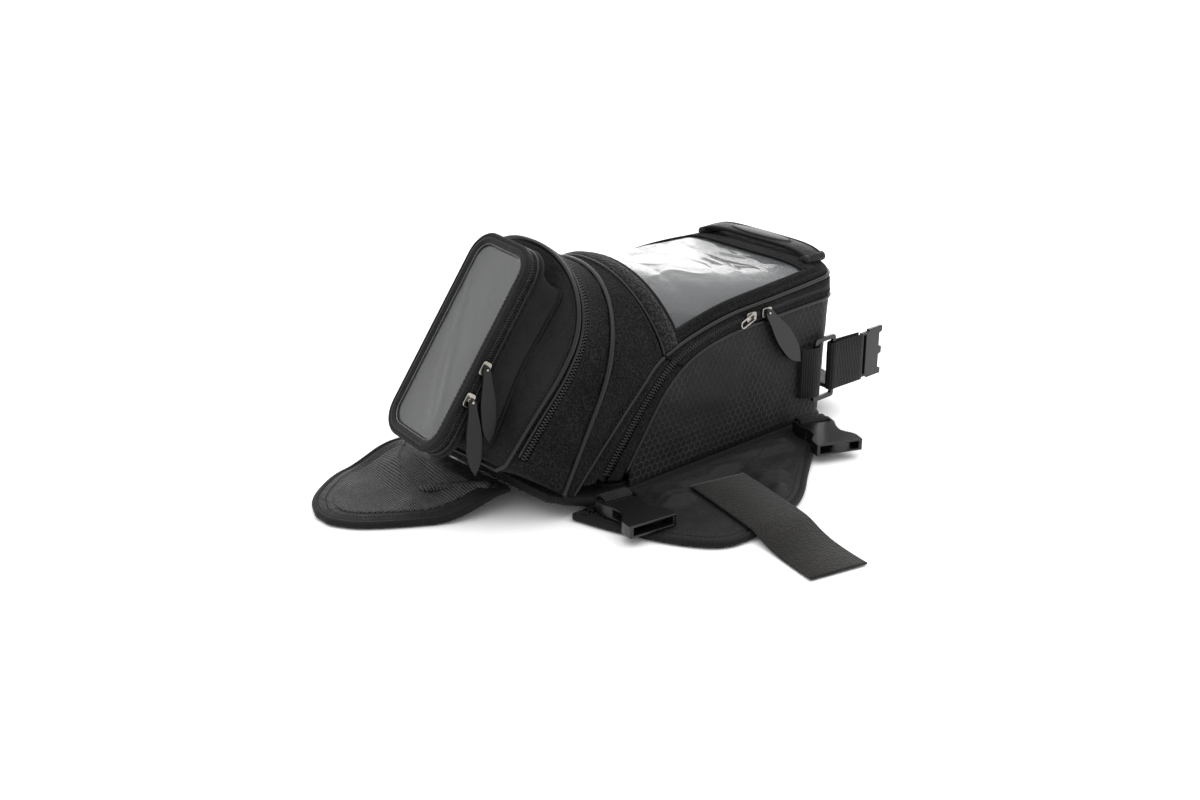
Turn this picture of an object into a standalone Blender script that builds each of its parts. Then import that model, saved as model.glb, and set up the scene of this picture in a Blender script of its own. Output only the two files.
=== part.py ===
"""Magnetic tank bag: a soft zipped bag with two front pockets, magnet flaps and strap buckles.

Metres, +Z up. The front (phone pocket and tongue flap) faces -Y and the right side is +X.
The origin is on the resting plane, under the middle of the base panel.
"""
import math

import bmesh
import bpy
from mathutils import Matrix, Vector

# ---- driving dimensions -------------------------------------------------------------------
GAP = 0.0003                # clearance between neighbouring pieces
FABRIC = 0.0018             # laminated fabric wall with its foam backing
HALF_WIDTH = 0.078          # outer half width of the body
CORNER_RADIUS = 0.024       # plan radius of the two rear corners
REAR_Y = 0.186              # rear wall at lid height
REAR_LEAN = 0.008           # how far the foot of the rear wall stands forward
BASE_THICKNESS = 0.008
BASE_FRONT_Y = -0.130
BASE_CURL = 0.014           # rise of the base's front edge
WALL_FOOT = BASE_THICKNESS + GAP

FRONT_SPRING_Z = 0.085      # height where the front section starts to arch
REAR_SPRING_Z = 0.106
FRONT_CROWN_Z = 0.170
REAR_CROWN_Z = 0.1395
FRONT_EXPONENT = 2.1        # round arch
REAR_EXPONENT = 5.0         # nearly a box

YOKE_FOOT_Y = -0.122        # where the yoke's front edge meets the base
YOKE_LEAN = 0.53            # run of the yoke's front edge per rise
LID_FRONT_Y = -0.018        # lid's front edge at its two sides
LID_FRONT_LEAN = -0.19      # the lid's front edge leans forward to its crown

POCKET_LEAN = math.radians(33.5)
POCKET_FOOT = Vector((0.0, -0.160, 0.044))
POCKET_HEIGHT = 0.166
POCKET_FOOT_HALF = 0.057
POCKET_HALF = 0.071
POCKET_BULGE = 0.021

PHONE_CENTRE = Vector((0.0, -0.1575, 0.132))
PHONE_YAW = math.radians(-8.0)
PHONE_WIDTH = 0.076
PHONE_LENGTH = 0.165
PHONE_DEPTH = 0.016
PHONE_RADIUS = 0.020

WEBBING = 0.0014
BUCKLE_WIDTH = 0.041
BUCKLE_LENGTH = 0.053
BUCKLE_THICKNESS = 0.010
MAGNET_RADIUS = 0.013
MAGNET_THICKNESS = 0.004

BLACK_NYLON = ("nylon", (0.018, 0.018, 0.019), 0.75, 0.0)
BLACK_EMBOSSED = ("embossed_nylon", (0.022, 0.022, 0.023), 0.6, 0.0)
BLACK_BINDING = ("binding", (0.014, 0.014, 0.014), 0.85, 0.0)
BLACK_WEBBING = ("webbing", (0.02, 0.02, 0.02), 0.8, 0.0)
BLACK_MESH = ("spacer_mesh", (0.03, 0.03, 0.03), 0.8, 0.0)
BLACK_ACETAL = ("acetal", (0.02, 0.02, 0.022), 0.35, 0.0)
BLACK_RUBBER = ("rubber", (0.02, 0.02, 0.02), 0.6, 0.0)
GREY_FOAM = ("foam", (0.05, 0.05, 0.05), 0.95, 0.0)
GREY_BOARD = ("board", (0.04, 0.04, 0.04), 0.7, 0.0)
CLEAR_VINYL = ("clear_vinyl", (0.45, 0.46, 0.47), 0.15, 0.0)
NICKEL = ("nickel", (0.62, 0.6, 0.57), 0.3, 1.0)
MAGNET_STEEL = ("magnet", (0.5, 0.5, 0.5), 0.35, 1.0)


# ---- small helpers ------------------------------------------------------------------------
def clear_scene():
    for existing in list(bpy.data.objects):
        bpy.data.objects.remove(existing, do_unlink=True)


def material(finish):
    name, colour, roughness, metallic = finish
    made = bpy.data.materials.get(name)
    if made is None:
        made = bpy.data.materials.new(name)
        made.use_nodes = True
        shader = made.node_tree.nodes["Principled BSDF"]
        shader.inputs["Base Color"].default_value = (*colour, 1.0)
        shader.inputs["Roughness"].default_value = roughness
        shader.inputs["Metallic"].default_value = metallic
    return made


def add_object(name, mesh, finish, place=None):
    """Put a mesh in the scene as one named, finished object."""
    made = bpy.data.objects.new(name, mesh)
    bpy.context.scene.collection.objects.link(made)
    if not mesh.materials:
        mesh.materials.append(material(finish))
    if place is not None:
        made.matrix_world = place
    return made


def mesh_from(name, verts, faces):
    """A mesh of the given faces, with its normals turned outwards."""
    mesh = bpy.data.meshes.new(name)
    mesh.from_pydata([tuple(v) for v in verts], [], faces)
    work = bmesh.new()
    work.from_mesh(mesh)
    bmesh.ops.recalc_face_normals(work, faces=work.faces)
    work.to_mesh(mesh)
    work.free()
    return mesh


def thick_sheet(name, outer, inner, wrap=False):
    """A closed solid between two grids of points; wrap joins the last column to the first."""
    rows, columns = len(outer), len(outer[0])
    verts = [p for grid in (outer, inner) for row in grid for p in row]
    last = columns if wrap else columns - 1

    def at(layer, i, j):
        return layer * rows * columns + i * columns + j % columns

    faces = []
    for i in range(rows - 1):
        for j in range(last):
            faces.append((at(0, i, j), at(0, i + 1, j), at(0, i + 1, j + 1), at(0, i, j + 1)))
            faces.append((at(1, i, j), at(1, i, j + 1), at(1, i + 1, j + 1), at(1, i + 1, j)))
    for j in range(last):
        for i in (0, rows - 1):
            faces.append((at(0, i, j), at(0, i, j + 1), at(1, i, j + 1), at(1, i, j)))
    if not wrap:
        for i in range(rows - 1):
            for j in (0, columns - 1):
                faces.append((at(0, i, j), at(1, i, j), at(1, i + 1, j), at(0, i + 1, j)))
    return mesh_from(name, verts, faces)


def plate(name, outline, low, high):
    """An outline in the local XY plane, extruded from low to high."""
    count = len(outline)
    verts = [(x, y, z) for z in (low, high) for x, y in outline]
    faces = [tuple(range(count)), tuple(range(count, 2 * count))]
    for i in range(count):
        j = (i + 1) % count
        faces.append((i, j, count + j, count + i))
    return mesh_from(name, verts, faces)


def frame_plate(name, outer, inner, low, high):
    """A flat ring between two outlines of the same length, extruded from low to high."""
    top = [[Vector((x, y, high)) for x, y in line] for line in (outer, inner)]
    bottom = [[Vector((x, y, low)) for x, y in line] for line in (outer, inner)]
    return thick_sheet(name, top, bottom, wrap=True)


def rounded_rectangle(width, height, radius, steps=5):
    points = []
    corners = ((1, 1, 0), (-1, 1, 90), (-1, -1, 180), (1, -1, 270))
    for sx, sy, start in corners:
        for k in range(steps + 1):
            turn = math.radians(start + 90 * k / steps)
            points.append((sx * (width / 2 - radius) + radius * math.cos(turn),
                           sy * (height / 2 - radius) + radius * math.sin(turn)))
    return points


def circle(radius, count=20, centre=(0.0, 0.0)):
    return [(centre[0] + radius * math.cos(2 * math.pi * k / count),
             centre[1] + radius * math.sin(2 * math.pi * k / count)) for k in range(count)]


def smooth_curve(points, steps=5):
    """Catmull-Rom curve through a few points."""
    padded = [points[0]] + list(points) + [points[-1]]
    curve = []
    for p0, p1, p2, p3 in zip(padded, padded[1:], padded[2:], padded[3:]):
        for k in range(steps):
            t = k / steps
            curve.append(tuple(
                0.5 * (2 * b + (c - a) * t + (2 * a - 5 * b + 4 * c - d) * t * t
                       + (3 * b - a - 3 * c + d) * t ** 3)
                for a, b, c, d in zip(p0, p1, p2, p3)))
    curve.append(tuple(points[-1]))
    return curve


def height_on(curve, y):
    """Height of a (y, z) curve at a station."""
    for (y0, z0), (y1, z1) in zip(curve, curve[1:]):
        if y <= y1:
            return z0 + (z1 - z0) * max(0.0, (y - y0) / (y1 - y0))
    return curve[-1][1]


def ease(low, high, value):
    t = min(1.0, max(0.0, (value - low) / (high - low)))
    return t * t * (3 - 2 * t)


def tidied(mesh):
    """Merge stray points that a Boolean leaves and split its faces into triangles."""
    work = bmesh.new()
    work.from_mesh(mesh)
    bmesh.ops.remove_doubles(work, verts=work.verts, dist=0.00001)
    bmesh.ops.dissolve_degenerate(work, dist=0.00001, edges=work.edges)
    bmesh.ops.triangulate(work, faces=work.faces)
    work.to_mesh(mesh)
    work.free()
    return mesh


def carve(mesh, cutters):
    """Subtract cutter meshes from a mesh with the exact Boolean and keep only the result."""
    body = bpy.data.objects.new("carve_body", mesh)
    bpy.context.scene.collection.objects.link(body)
    tools = []
    for number, cutter in enumerate(cutters):
        tool = bpy.data.objects.new("carve_tool", cutter)
        bpy.context.scene.collection.objects.link(tool)
        cut = body.modifiers.new("cut_%d" % number, "BOOLEAN")
        cut.operation = "DIFFERENCE"
        cut.solver = "EXACT"
        cut.object = tool
        tools.append(tool)
    evaluated = body.evaluated_get(bpy.context.evaluated_depsgraph_get())
    result = bpy.data.meshes.new_from_object(evaluated)
    for used in tools + [body]:
        bpy.data.objects.remove(used, do_unlink=True)
    return tidied(result)


def box_mesh(low, high):
    outline = [(low[0], low[1]), (high[0], low[1]), (high[0], high[1]), (low[0], high[1])]
    return plate("box", outline, low[2], high[2])


def ribbon(name, path, across, width, thickness):
    """Flat webbing of one thickness along a path, with its width along one direction."""
    across = Vector(across).normalized()
    path = [Vector(p) for p in path]
    sides = []
    for i, point in enumerate(path):
        ahead = path[min(i + 1, len(path) - 1)] - point
        behind = point - path[max(i - 1, 0)]
        tangent = (ahead.normalized() + behind.normalized()).normalized()
        normal = tangent.cross(across).normalized()
        widen = 1.0
        if ahead.length and behind.length:
            widen = 1.0 / max(0.75, tangent.dot(ahead.normalized()))
        sides.append((point, normal * thickness / 2 * widen))
    half = across * width / 2
    upper = [[p + n - half, p + n + half] for p, n in sides]
    lower = [[p - n - half, p - n + half] for p, n in sides]
    return thick_sheet(name, upper, lower)


# ---- the body's outer surface -------------------------------------------------------------
def base_lift(y):
    """Rise of the base panel's underside towards its curled front edge."""
    return BASE_CURL * (1 - ease(BASE_FRONT_Y, BASE_FRONT_Y + 0.050, y))


def foot_height(y):
    """Lower edge of the walls: just above the base panel."""
    return WALL_FOOT + base_lift(y) + (GAP if y < BASE_FRONT_Y + 0.050 else 0.0)


def section(y):
    """Half width, spring height, arch height, exponent and facing of the section at y."""
    along = ease(-0.03, 0.15, y)
    spring = FRONT_SPRING_Z + (REAR_SPRING_Z - FRONT_SPRING_Z) * along
    crown = FRONT_CROWN_Z + (REAR_CROWN_Z - FRONT_CROWN_Z) * ease(-0.06, 0.19, y)
    exponent = FRONT_EXPONENT + (REAR_EXPONENT - FRONT_EXPONENT) * along
    facing = min(1.0, max(0.0, y - (REAR_Y - CORNER_RADIUS)) / CORNER_RADIUS)
    inset = CORNER_RADIUS * (1 - math.sqrt(1 - facing ** 2))
    return HALF_WIDTH - inset, spring, crown - spring, exponent, facing


def leaned(point):
    """The rear wall's foot stands forward of its top."""
    low = min(1.0, max(0.0, 1.0 - point.z / REAR_SPRING_Z))
    return Vector((point.x, point.y - REAR_LEAN * low * ease(0.08, REAR_Y, point.y), point.z))


def shell_point(y, angle, side=1, depth=0.0):
    """Point of the outer surface: angle 0 is the spring line and 90 degrees is the crown."""
    width, spring, rise, exponent, facing = section(y)
    width -= depth * math.sqrt(1 - facing ** 2)
    rise -= depth
    y -= depth * facing
    if angle <= 0:
        x, z = width, spring + width * math.tan(angle)
    else:
        c = math.cos(angle) / width
        s = math.sin(angle) / rise
        reach = (max(0.0, c) ** exponent + s ** exponent) ** (-1.0 / exponent)
        x, z = reach * math.cos(angle), spring + reach * math.sin(angle)
    if angle >= math.pi / 2:
        x = 0.0
    return leaned(Vector((side * x, y, z)))


def angle_at(y, z):
    """Angle of the surface point at height z on the side."""
    width, spring, rise, exponent, _ = section(y)
    if z <= spring:
        return math.atan2(z - spring, width)
    high = min(0.999, (z - spring) / rise)
    return math.atan2(z - spring, width * (1 - high ** exponent) ** (1 / exponent))


# the zip band: its upper and lower edges as (y, z) curves on the side
ZIP_TOP = smooth_curve([(-0.112, foot_height(-0.112)), (-0.080, 0.051), (-0.045, 0.085),
                        (-0.018, 0.105), (0.041, 0.121), (0.100, 0.126), (REAR_Y, 0.130)])
ZIP_FOOT = smooth_curve([(-0.068, WALL_FOOT), (-0.045, 0.040), (-0.018, 0.076), (0.012, 0.097),
                         (0.055, 0.107), (0.110, 0.110), (REAR_Y, 0.112)])


def zip_edge(s, across):
    """(y, angle) on the zip band: s runs front to rear, across runs 0 at the top to 1 at the foot."""
    top_y = -0.112 + (REAR_Y + 0.112) * s
    foot_y = top_y + 0.044 * (1 - ease(-0.112, 0.065, top_y))
    top_z = height_on(ZIP_TOP, top_y)
    foot_z = height_on(ZIP_FOOT, foot_y)
    y = top_y + (foot_y - top_y) * across
    z = top_z + (foot_z - top_z) * across
    return y, angle_at(y, z)


LID_START = (LID_FRONT_Y + 0.112) / (REAR_Y + 0.112)   # where the lid begins along the zip


def band_grid(start, stop, count, top, foot, side, depth):
    """Grid of the zip band between two stations and two levels."""
    grid = []
    for k in range(count + 1):
        s = start + (stop - start) * k / count
        grid.append([shell_point(*zip_edge(s, top + (foot - top) * a / 2), side, depth)
                     for a in range(3)])
    return grid


def round_the_rear(grid_right, grid_left):
    """Join a right-hand and a left-hand grid across the straight rear wall."""
    right_end = grid_right[-1]
    left_end = grid_left[-1]
    across = [[r + (l - r) * k / 4 for r, l in zip(right_end, left_end)] for k in range(1, 4)]
    return grid_right + across + grid_left[::-1]


def plane_edge(foot_y, foot_z, lean, angle):
    """Station where a leaning cross plane meets the surface at an angle."""
    y = foot_y
    for _ in range(12):
        y = foot_y + lean * (shell_point(y, angle).z - foot_z)
    return y


YOKE_FOOT_Z = foot_height(YOKE_FOOT_Y) + GAP


def yoke_front(angle):
    return plane_edge(YOKE_FOOT_Y, YOKE_FOOT_Z, YOKE_LEAN, angle)


LID_SIDE_Z = height_on(ZIP_TOP, LID_FRONT_Y)
LID_SIDE_ANGLE = angle_at(LID_FRONT_Y, LID_SIDE_Z)


def lid_front(angle):
    return plane_edge(LID_FRONT_Y, LID_SIDE_Z, LID_FRONT_LEAN, angle)


def both_sides(points):
    """Right half of a ring, foot to crown, completed with its mirror image."""
    mirrored = [Vector((-p.x, p.y, p.z)) for p in points[-2::-1]]
    return list(points) + mirrored


# ---- root: base, walls, yoke, zip tapes ---------------------------------------------------
def make_base():
    stations = [BASE_FRONT_Y, -0.120, -0.108, -0.095, -0.080, -0.02, 0.05, 0.11, 0.135,
                0.150, 0.160, 0.170, 0.176, 0.1795]
    top, bottom = [], []
    for y in stations:
        half = section(y)[0] - (0.012 if y < -0.125 else 0.0)
        lift = base_lift(y)
        floor_y = y - REAR_LEAN * ease(0.08, REAR_Y, y)
        columns = [-half, -half / 2, 0.0, half / 2, half]
        top.append([Vector((x, floor_y, lift + BASE_THICKNESS)) for x in columns])
        bottom.append([Vector((x, floor_y, lift)) for x in columns])
    add_object("base_panel", thick_sheet("base_panel", top, bottom), BLACK_NYLON)
    board = rounded_rectangle(0.146, 0.225, 0.024)
    low = BASE_THICKNESS + GAP
    add_object("liner_board", plate("liner_board", board, low, low + 0.002), GREY_BOARD,
               Matrix.Translation((0.0, 0.036, 0.0)))


def side_grid(side, depth):
    grid = []
    stations = 22
    for k in range(stations + 1):
        s = k / stations
        y, top_angle = zip_edge(s, 1.0)
        foot_angle = angle_at(y, WALL_FOOT)
        row = []
        for a in range(5):
            z_angle = top_angle + (foot_angle - top_angle) * a / 4
            row.append(shell_point(y, z_angle, side, depth))
        row[0].z -= GAP
        grid.append(row)
    return grid[1:]


def make_walls():
    for name, side in (("right", 1), ("left", -1)):
        mesh = thick_sheet("side_panel", side_grid(side, 0.0), side_grid(side, FABRIC))
        add_object("side_panel_" + name, mesh, BLACK_EMBOSSED)
    half = HALF_WIDTH - CORNER_RADIUS - GAP
    top_z = height_on(ZIP_FOOT, REAR_Y) - GAP
    foot_y = REAR_Y - REAR_LEAN * (1 - WALL_FOOT / REAR_SPRING_Z)
    outer, inner = [], []
    for z, y in ((WALL_FOOT, foot_y), (REAR_SPRING_Z, REAR_Y), (top_z, REAR_Y)):
        outer.append([Vector((x, y, z)) for x in (-half, 0.0, half)])
        inner.append([Vector((x, y - FABRIC, z)) for x in (-half, 0.0, half)])
    add_object("rear_panel", thick_sheet("rear_panel", outer, inner), BLACK_NYLON)


def make_zip_tapes():
    lid_stop = LID_START - 0.004
    for name, side in (("right", 1), ("left", -1)):
        outer = band_grid(0.02, lid_stop, 10, 0.03, 0.97, side, 0.0)
        inner = band_grid(0.02, lid_stop, 10, 0.03, 0.97, side, FABRIC)
        add_object("front_zip_" + name, thick_sheet("front_zip", outer, inner), BLACK_NYLON)

    def whole(top, foot, depth):
        right = band_grid(LID_START, 1.0, 18, top, foot, 1, depth)
        left = band_grid(LID_START, 1.0, 18, top, foot, -1, depth)
        return round_the_rear(right, left)

    lower = thick_sheet("zip_tape_lower", whole(0.52, 0.97, 0.0), whole(0.52, 0.97, FABRIC))
    add_object("zip_tape_lower", lower, BLACK_NYLON)
    upper = thick_sheet("lid_skirt", whole(0.04, 0.48, 0.0), whole(0.04, 0.48, FABRIC))
    add_object("lid_skirt", upper, BLACK_NYLON)


def yoke_grid(depth):
    """Rows from the yoke's front edge back to the zip and to the lid's front edge."""
    count_zip, count_arch = 8, 9
    pairs = []
    for k in range(count_zip):
        y, angle = zip_edge(LID_START * k / count_zip, -0.03)
        pairs.append((y, max(angle, angle_at(y, foot_height(y)))))
    for k in range(count_arch + 1):
        angle = LID_SIDE_ANGLE + (math.pi / 2 - LID_SIDE_ANGLE) * k / count_arch
        pairs.append((lid_front(angle) - 0.0015, angle))
    low = angle_at(YOKE_FOOT_Y, YOKE_FOOT_Z)
    total = len(pairs) - 1
    rows = []
    for step in range(4):
        across = step / 3
        half = []
        for k, (back_y, back_angle) in enumerate(pairs):
            front_angle = low + (math.pi / 2 - low) * k / total
            front_y = yoke_front(front_angle)
            y = front_y + (back_y - front_y) * across
            angle = front_angle + (back_angle - front_angle) * across
            half.append(shell_point(y, angle, 1, depth))
        rows.append(both_sides(half))
    return rows


def make_yoke():
    add_object("front_yoke", thick_sheet("front_yoke", yoke_grid(0.0), yoke_grid(FABRIC)),
               BLACK_NYLON)
    ring = yoke_grid(FABRIC + GAP)[0]
    forward = Vector((0.0, -1.0, YOKE_LEAN)).normalized()
    back = [p - forward * FABRIC for p in ring]
    count = len(ring)
    faces = [tuple(range(count)), tuple(range(count, 2 * count))]
    faces += [(i, (i + 1) % count, count + (i + 1) % count, count + i) for i in range(count)]
    add_object("front_bulkhead", mesh_from("front_bulkhead", ring + back, faces), BLACK_NYLON)


# ---- arch pocket --------------------------------------------------------------------------
def pocket_frame():
    up = Vector((0.0, math.sin(POCKET_LEAN), math.cos(POCKET_LEAN)))
    right = Vector((1.0, 0.0, 0.0))
    return right, up, right.cross(up)


def pocket_point(u, v, n=0.0):
    """Pocket face point: u across, v up the slope, n proud of the bulged face."""
    right, up, out = pocket_frame()
    bulge = POCKET_BULGE * (1 - (u / 0.075) ** 2) * (0.25 + 0.75 * ease(0.0, 0.09, v))
    return POCKET_FOOT + right * u + up * v + out * (bulge + n)


def pocket_outline(count=17):
    """Right half of the arch outline as (u, v), from the foot's middle round to the crown."""
    points = [(0.0, 0.0), (POCKET_FOOT_HALF / 2, 0.0), (POCKET_FOOT_HALF - 0.006, 0.0)]
    side = smooth_curve([(POCKET_FOOT_HALF, 0.006), (POCKET_HALF - 0.002, 0.068),
                         (POCKET_HALF, 0.096)], 3)
    points += side
    arch = count - len(points)
    for k in range(1, arch + 1):
        turn = math.pi / 2 * k / arch
        points.append((POCKET_HALF * math.cos(turn) ** 0.85,
                       0.096 + (POCKET_HEIGHT - 0.096) * math.sin(turn) ** 0.95))
    return points


def closed_ring(half):
    """Right half from the foot's middle to the crown, closed with its mirror image."""
    return half + [Vector((-p.x, p.y, p.z)) for p in half[-2:0:-1]]


def ring_inset(ring, amount):
    """Move a closed ring's points inwards, towards its own middle."""
    middle = sum(ring, Vector()) / len(ring)
    inset = []
    for i, point in enumerate(ring):
        along = (ring[(i + 1) % len(ring)] - ring[i - 1]).normalized()
        inward = middle - point
        inward -= along * inward.dot(along)
        inset.append(point + inward.normalized() * amount)
    return inset


def make_arch_pocket():
    outline = pocket_outline()
    pocket_ring = closed_ring([pocket_point(u, v, -0.0015) for u, v in outline])
    body_half = [Vector((u, 0.0, 0.0)) for u in (0.0, 0.035, 0.066)]
    front = yoke_grid(0.0)[0]
    right_half = front[:len(front) // 2 + 1]
    forward = Vector((0.0, -1.0, YOKE_LEAN)).normalized()
    foot = right_half[0]
    body_half = [Vector((p.x, foot.y, foot.z)) for p in body_half]
    steps = len(outline) - len(body_half)
    for k in range(steps):
        place = k / (steps - 1) * (len(right_half) - 1)
        i = min(int(place), len(right_half) - 2)
        body_half.append(right_half[i].lerp(right_half[i + 1], place - i))
    body_ring = [p + forward * 0.0015 for p in closed_ring(body_half)]
    middle_ring = [a.lerp(b, 0.5) for a, b in zip(body_ring, pocket_ring)]
    middle_ring = ring_inset(middle_ring, 0.002)
    rings = [body_ring, middle_ring, pocket_ring]
    inner = [ring_inset(r, FABRIC) for r in rings]
    add_object("arch_pocket_gusset", thick_sheet("arch_pocket_gusset", rings, inner, wrap=True),
               BLACK_NYLON)
    face_rows, back_rows = [], []
    for i in range(9):
        share = i / 8
        row, back = [], []
        for side in (-1, 1):
            marks = range(9) if side < 0 else range(1, 9)
            for k in marks:
                level = POCKET_HEIGHT * (0.002 + 0.996 * share)
                half = half_width_at(outline, level)
                across = (k / 8 - 1) if side < 0 else k / 8
                row.append(pocket_point(half * across, level, FABRIC))
                back.append(pocket_point(half * across, level, GAP))
        face_rows.append(row)
        back_rows.append(back)
    add_object("arch_door_panel", thick_sheet("arch_door_panel", face_rows, back_rows),
               BLACK_NYLON)


def half_width_at(outline, level):
    """Half width of the arch outline at a height."""
    rising = [p for p in outline[2:]]
    for (u0, v0), (u1, v1) in zip(rising, rising[1:]):
        if v0 <= level <= v1 and v1 > v0:
            return u0 + (u1 - u0) * (level - v0) / (v1 - v0)
    return max(0.006, rising[-1][0])


# ---- phone pocket -------------------------------------------------------------------------
def phone_place():
    turn = Matrix.Rotation(PHONE_YAW, 4, "Z")
    tilt = Matrix.Rotation(math.pi / 2 - POCKET_LEAN, 4, "X")
    return Matrix.Translation(PHONE_CENTRE) @ turn @ tilt


def make_phone_pocket():
    place = phone_place()
    outer = rounded_rectangle(PHONE_WIDTH, PHONE_LENGTH, PHONE_RADIUS)
    wall = rounded_rectangle(PHONE_WIDTH - 2 * FABRIC, PHONE_LENGTH - 2 * FABRIC,
                             PHONE_RADIUS - FABRIC)
    opening = rounded_rectangle(PHONE_WIDTH - 0.016, PHONE_LENGTH - 0.016, PHONE_RADIUS - 0.008)
    back = -PHONE_DEPTH
    sleeve = plate("phone_tub", outer, back, -0.0025)
    hollow = plate("hollow", wall, back + FABRIC, 0.01)
    add_object("phone_tub", carve(sleeve, [hollow]), BLACK_NYLON, place)
    add_object("phone_door_frame", frame_plate("phone_door_frame", outer, opening,
                                               -0.0020, 0.0), BLACK_BINDING, place)
    pane = rounded_rectangle(PHONE_WIDTH - 0.010, PHONE_LENGTH - 0.010, PHONE_RADIUS - 0.005)
    add_object("phone_window", plate("phone_window", pane, -0.0032, -0.0023), CLEAR_VINYL, place)
    low, high = -0.060, 0.052
    up = pocket_frame()[1]
    rows, inner_rows = [], []
    for k in range(9):
        v = low + (high - low) * k / 8
        row, deep = [], []
        for step in range(-3, 4):
            top = place @ Vector((0.026 * step / 3, v, back - GAP))
            level = (top - POCKET_FOOT).dot(up)
            row.append(top)
            deep.append(pocket_point(top.x, level, FABRIC + 3 * GAP))
        rows.append(row)
        inner_rows.append(deep)
    add_object("phone_bellows", thick_sheet("phone_bellows", rows, inner_rows), BLACK_NYLON)


# ---- zip sliders and pulls ----------------------------------------------------------------
def slider_mesh(pin_height=0.0062):
    """Slider lying in the local XY plane (zip along Y, out along Z) with its pivot pin."""
    block = plate("slider", rounded_rectangle(0.008, 0.011, 0.002, 3), 0.0, 0.0028)
    pin = plate("pin", circle(0.0012, 12), 0.002, pin_height)
    return join_union(block, pin)


def join_union(first, second):
    body = bpy.data.objects.new("union_body", first)
    tool = bpy.data.objects.new("union_tool", second)
    for used in (body, tool):
        bpy.context.scene.collection.objects.link(used)
    joined = body.modifiers.new("join", "BOOLEAN")
    joined.operation = "UNION"
    joined.solver = "EXACT"
    joined.object = tool
    result = bpy.data.meshes.new_from_object(
        body.evaluated_get(bpy.context.evaluated_depsgraph_get()))
    for used in (body, tool):
        bpy.data.objects.remove(used, do_unlink=True)
    return tidied(result)


def pull_mesh(length, width):
    """Leaf-shaped rubber pull in the local XY plane, hanging along -Y from its eye."""
    leaf = smooth_curve([(0.0, 0.0035), (width * 0.22, 0.0), (width * 0.30, -length * 0.15),
                         (width * 0.5, -length * 0.45), (width * 0.42, -length * 0.8),
                         (0.0, -length)], 3)
    outline = leaf + [(-x, y) for x, y in leaf[-2:0:-1]]
    body = plate("pull", outline, 0.0, 0.0022)
    eye = plate("eye", circle(0.0017, 12), -0.001, 0.004)
    return carve(body, [eye])


def make_main_zip():
    slide_z = 0.5 * (height_on(ZIP_TOP, 0.085) + height_on(ZIP_FOOT, 0.085))
    facing_x = Matrix(((0, 0, 1, 0), (1, 0, 0, 0), (0, 1, 0, 0), (0, 0, 0, 1)))
    along_zip = Matrix.Rotation(math.pi / 2, 4, "Z")
    for name, y in (("front", 0.074), ("rear", 0.092)):
        place = Matrix.Translation((HALF_WIDTH + 2 * GAP, y, slide_z)) @ facing_x @ along_zip
        add_object("main_slider_" + name, slider_mesh(), NICKEL, place)
    hang = Matrix.Rotation(math.radians(38.0), 4, "Z")
    place = Matrix.Translation((HALF_WIDTH + 0.0037, 0.092, slide_z)) @ facing_x @ hang
    add_object("main_pull_rear", pull_mesh(0.066, 0.017), BLACK_RUBBER, place)
    loop_outer = rounded_rectangle(0.007, 0.017, 0.0034, 4)
    loop_inner = rounded_rectangle(0.0044, 0.0144, 0.0021, 4)
    loop = frame_plate("main_loop", loop_outer, loop_inner, 0.0, 0.0013)
    place = (Matrix.Translation((HALF_WIDTH + 0.0037, 0.074, slide_z)) @ facing_x
             @ Matrix.Rotation(math.radians(-70.0), 4, "Z") @ Matrix.Translation((0, -0.0058, 0)))
    add_object("main_pull_loop", loop, NICKEL, place)


def make_phone_zip():
    place = phone_place()
    wall_x = PHONE_WIDTH / 2 + GAP
    depth = -PHONE_DEPTH / 2 + 0.002
    facing_u = Matrix(((0, 0, 1, 0), (0, 1, 0, 0), (-1, 0, 0, 0), (0, 0, 0, 1)))
    for name, v, stand in (("upper", -0.008, 0.0032), ("lower", -0.0335, 0.0057)):
        seat = place @ Matrix.Translation((wall_x, v, depth)) @ facing_u
        add_object("phone_slider_" + name, slider_mesh(stand + 0.003), NICKEL, seat)
        eye = place @ Vector((wall_x + stand, v, depth))
        outward = (place.to_3x3() @ Vector((1.0, 0.0, 0.0))).normalized()
        up = Vector((0.0, 0.0, 1.0))
        forward = up.cross(outward)
        hang = Matrix((forward, up, outward)).transposed().to_4x4()
        hang.translation = eye
        add_object("phone_pull_" + name, pull_mesh(0.058, 0.0125), BLACK_RUBBER, hang)


def make_arch_zip():
    """The arch pocket's slider, parked at the foot of the left side of its zip."""
    right, up, out = pocket_frame()
    seat = pocket_point(-0.0700, 0.060, -0.012) + Vector((-0.0045, 0.0, 0.0))
    facing = Matrix((out, up, -right)).transposed().to_4x4()
    facing.translation = seat
    add_object("arch_slider", slider_mesh(), NICKEL, facing)
    hang = Matrix((Vector((0, -1, 0)), Vector((0, 0, 1)), Vector((-1, 0, 0)))).transposed().to_4x4()
    hang.translation = seat + Vector((-0.0032, 0.0, 0.0))
    add_object("arch_pull", pull_mesh(0.050, 0.014), BLACK_RUBBER, hang)


# ---- lid ----------------------------------------------------------------------------------
def lid_point(t, a, depth=0.0):
    """Lid surface: t runs 0 front to 1 rear, a runs -1 left to 1 right."""
    side = -1 if a < 0 else 1
    edge_s = LID_START + (1 - LID_START) * t
    edge_y, edge_angle = zip_edge(edge_s, 0.0)
    edge_angle += 0.012
    angle = edge_angle + (math.pi / 2 - edge_angle) * (1 - abs(a))
    start = lid_front(angle)
    end = REAR_Y
    y = start + (end - start) * t
    y = edge_y + (y - edge_y) * (1 - abs(a) ** 8)
    return shell_point(y, angle, side, depth)


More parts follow.
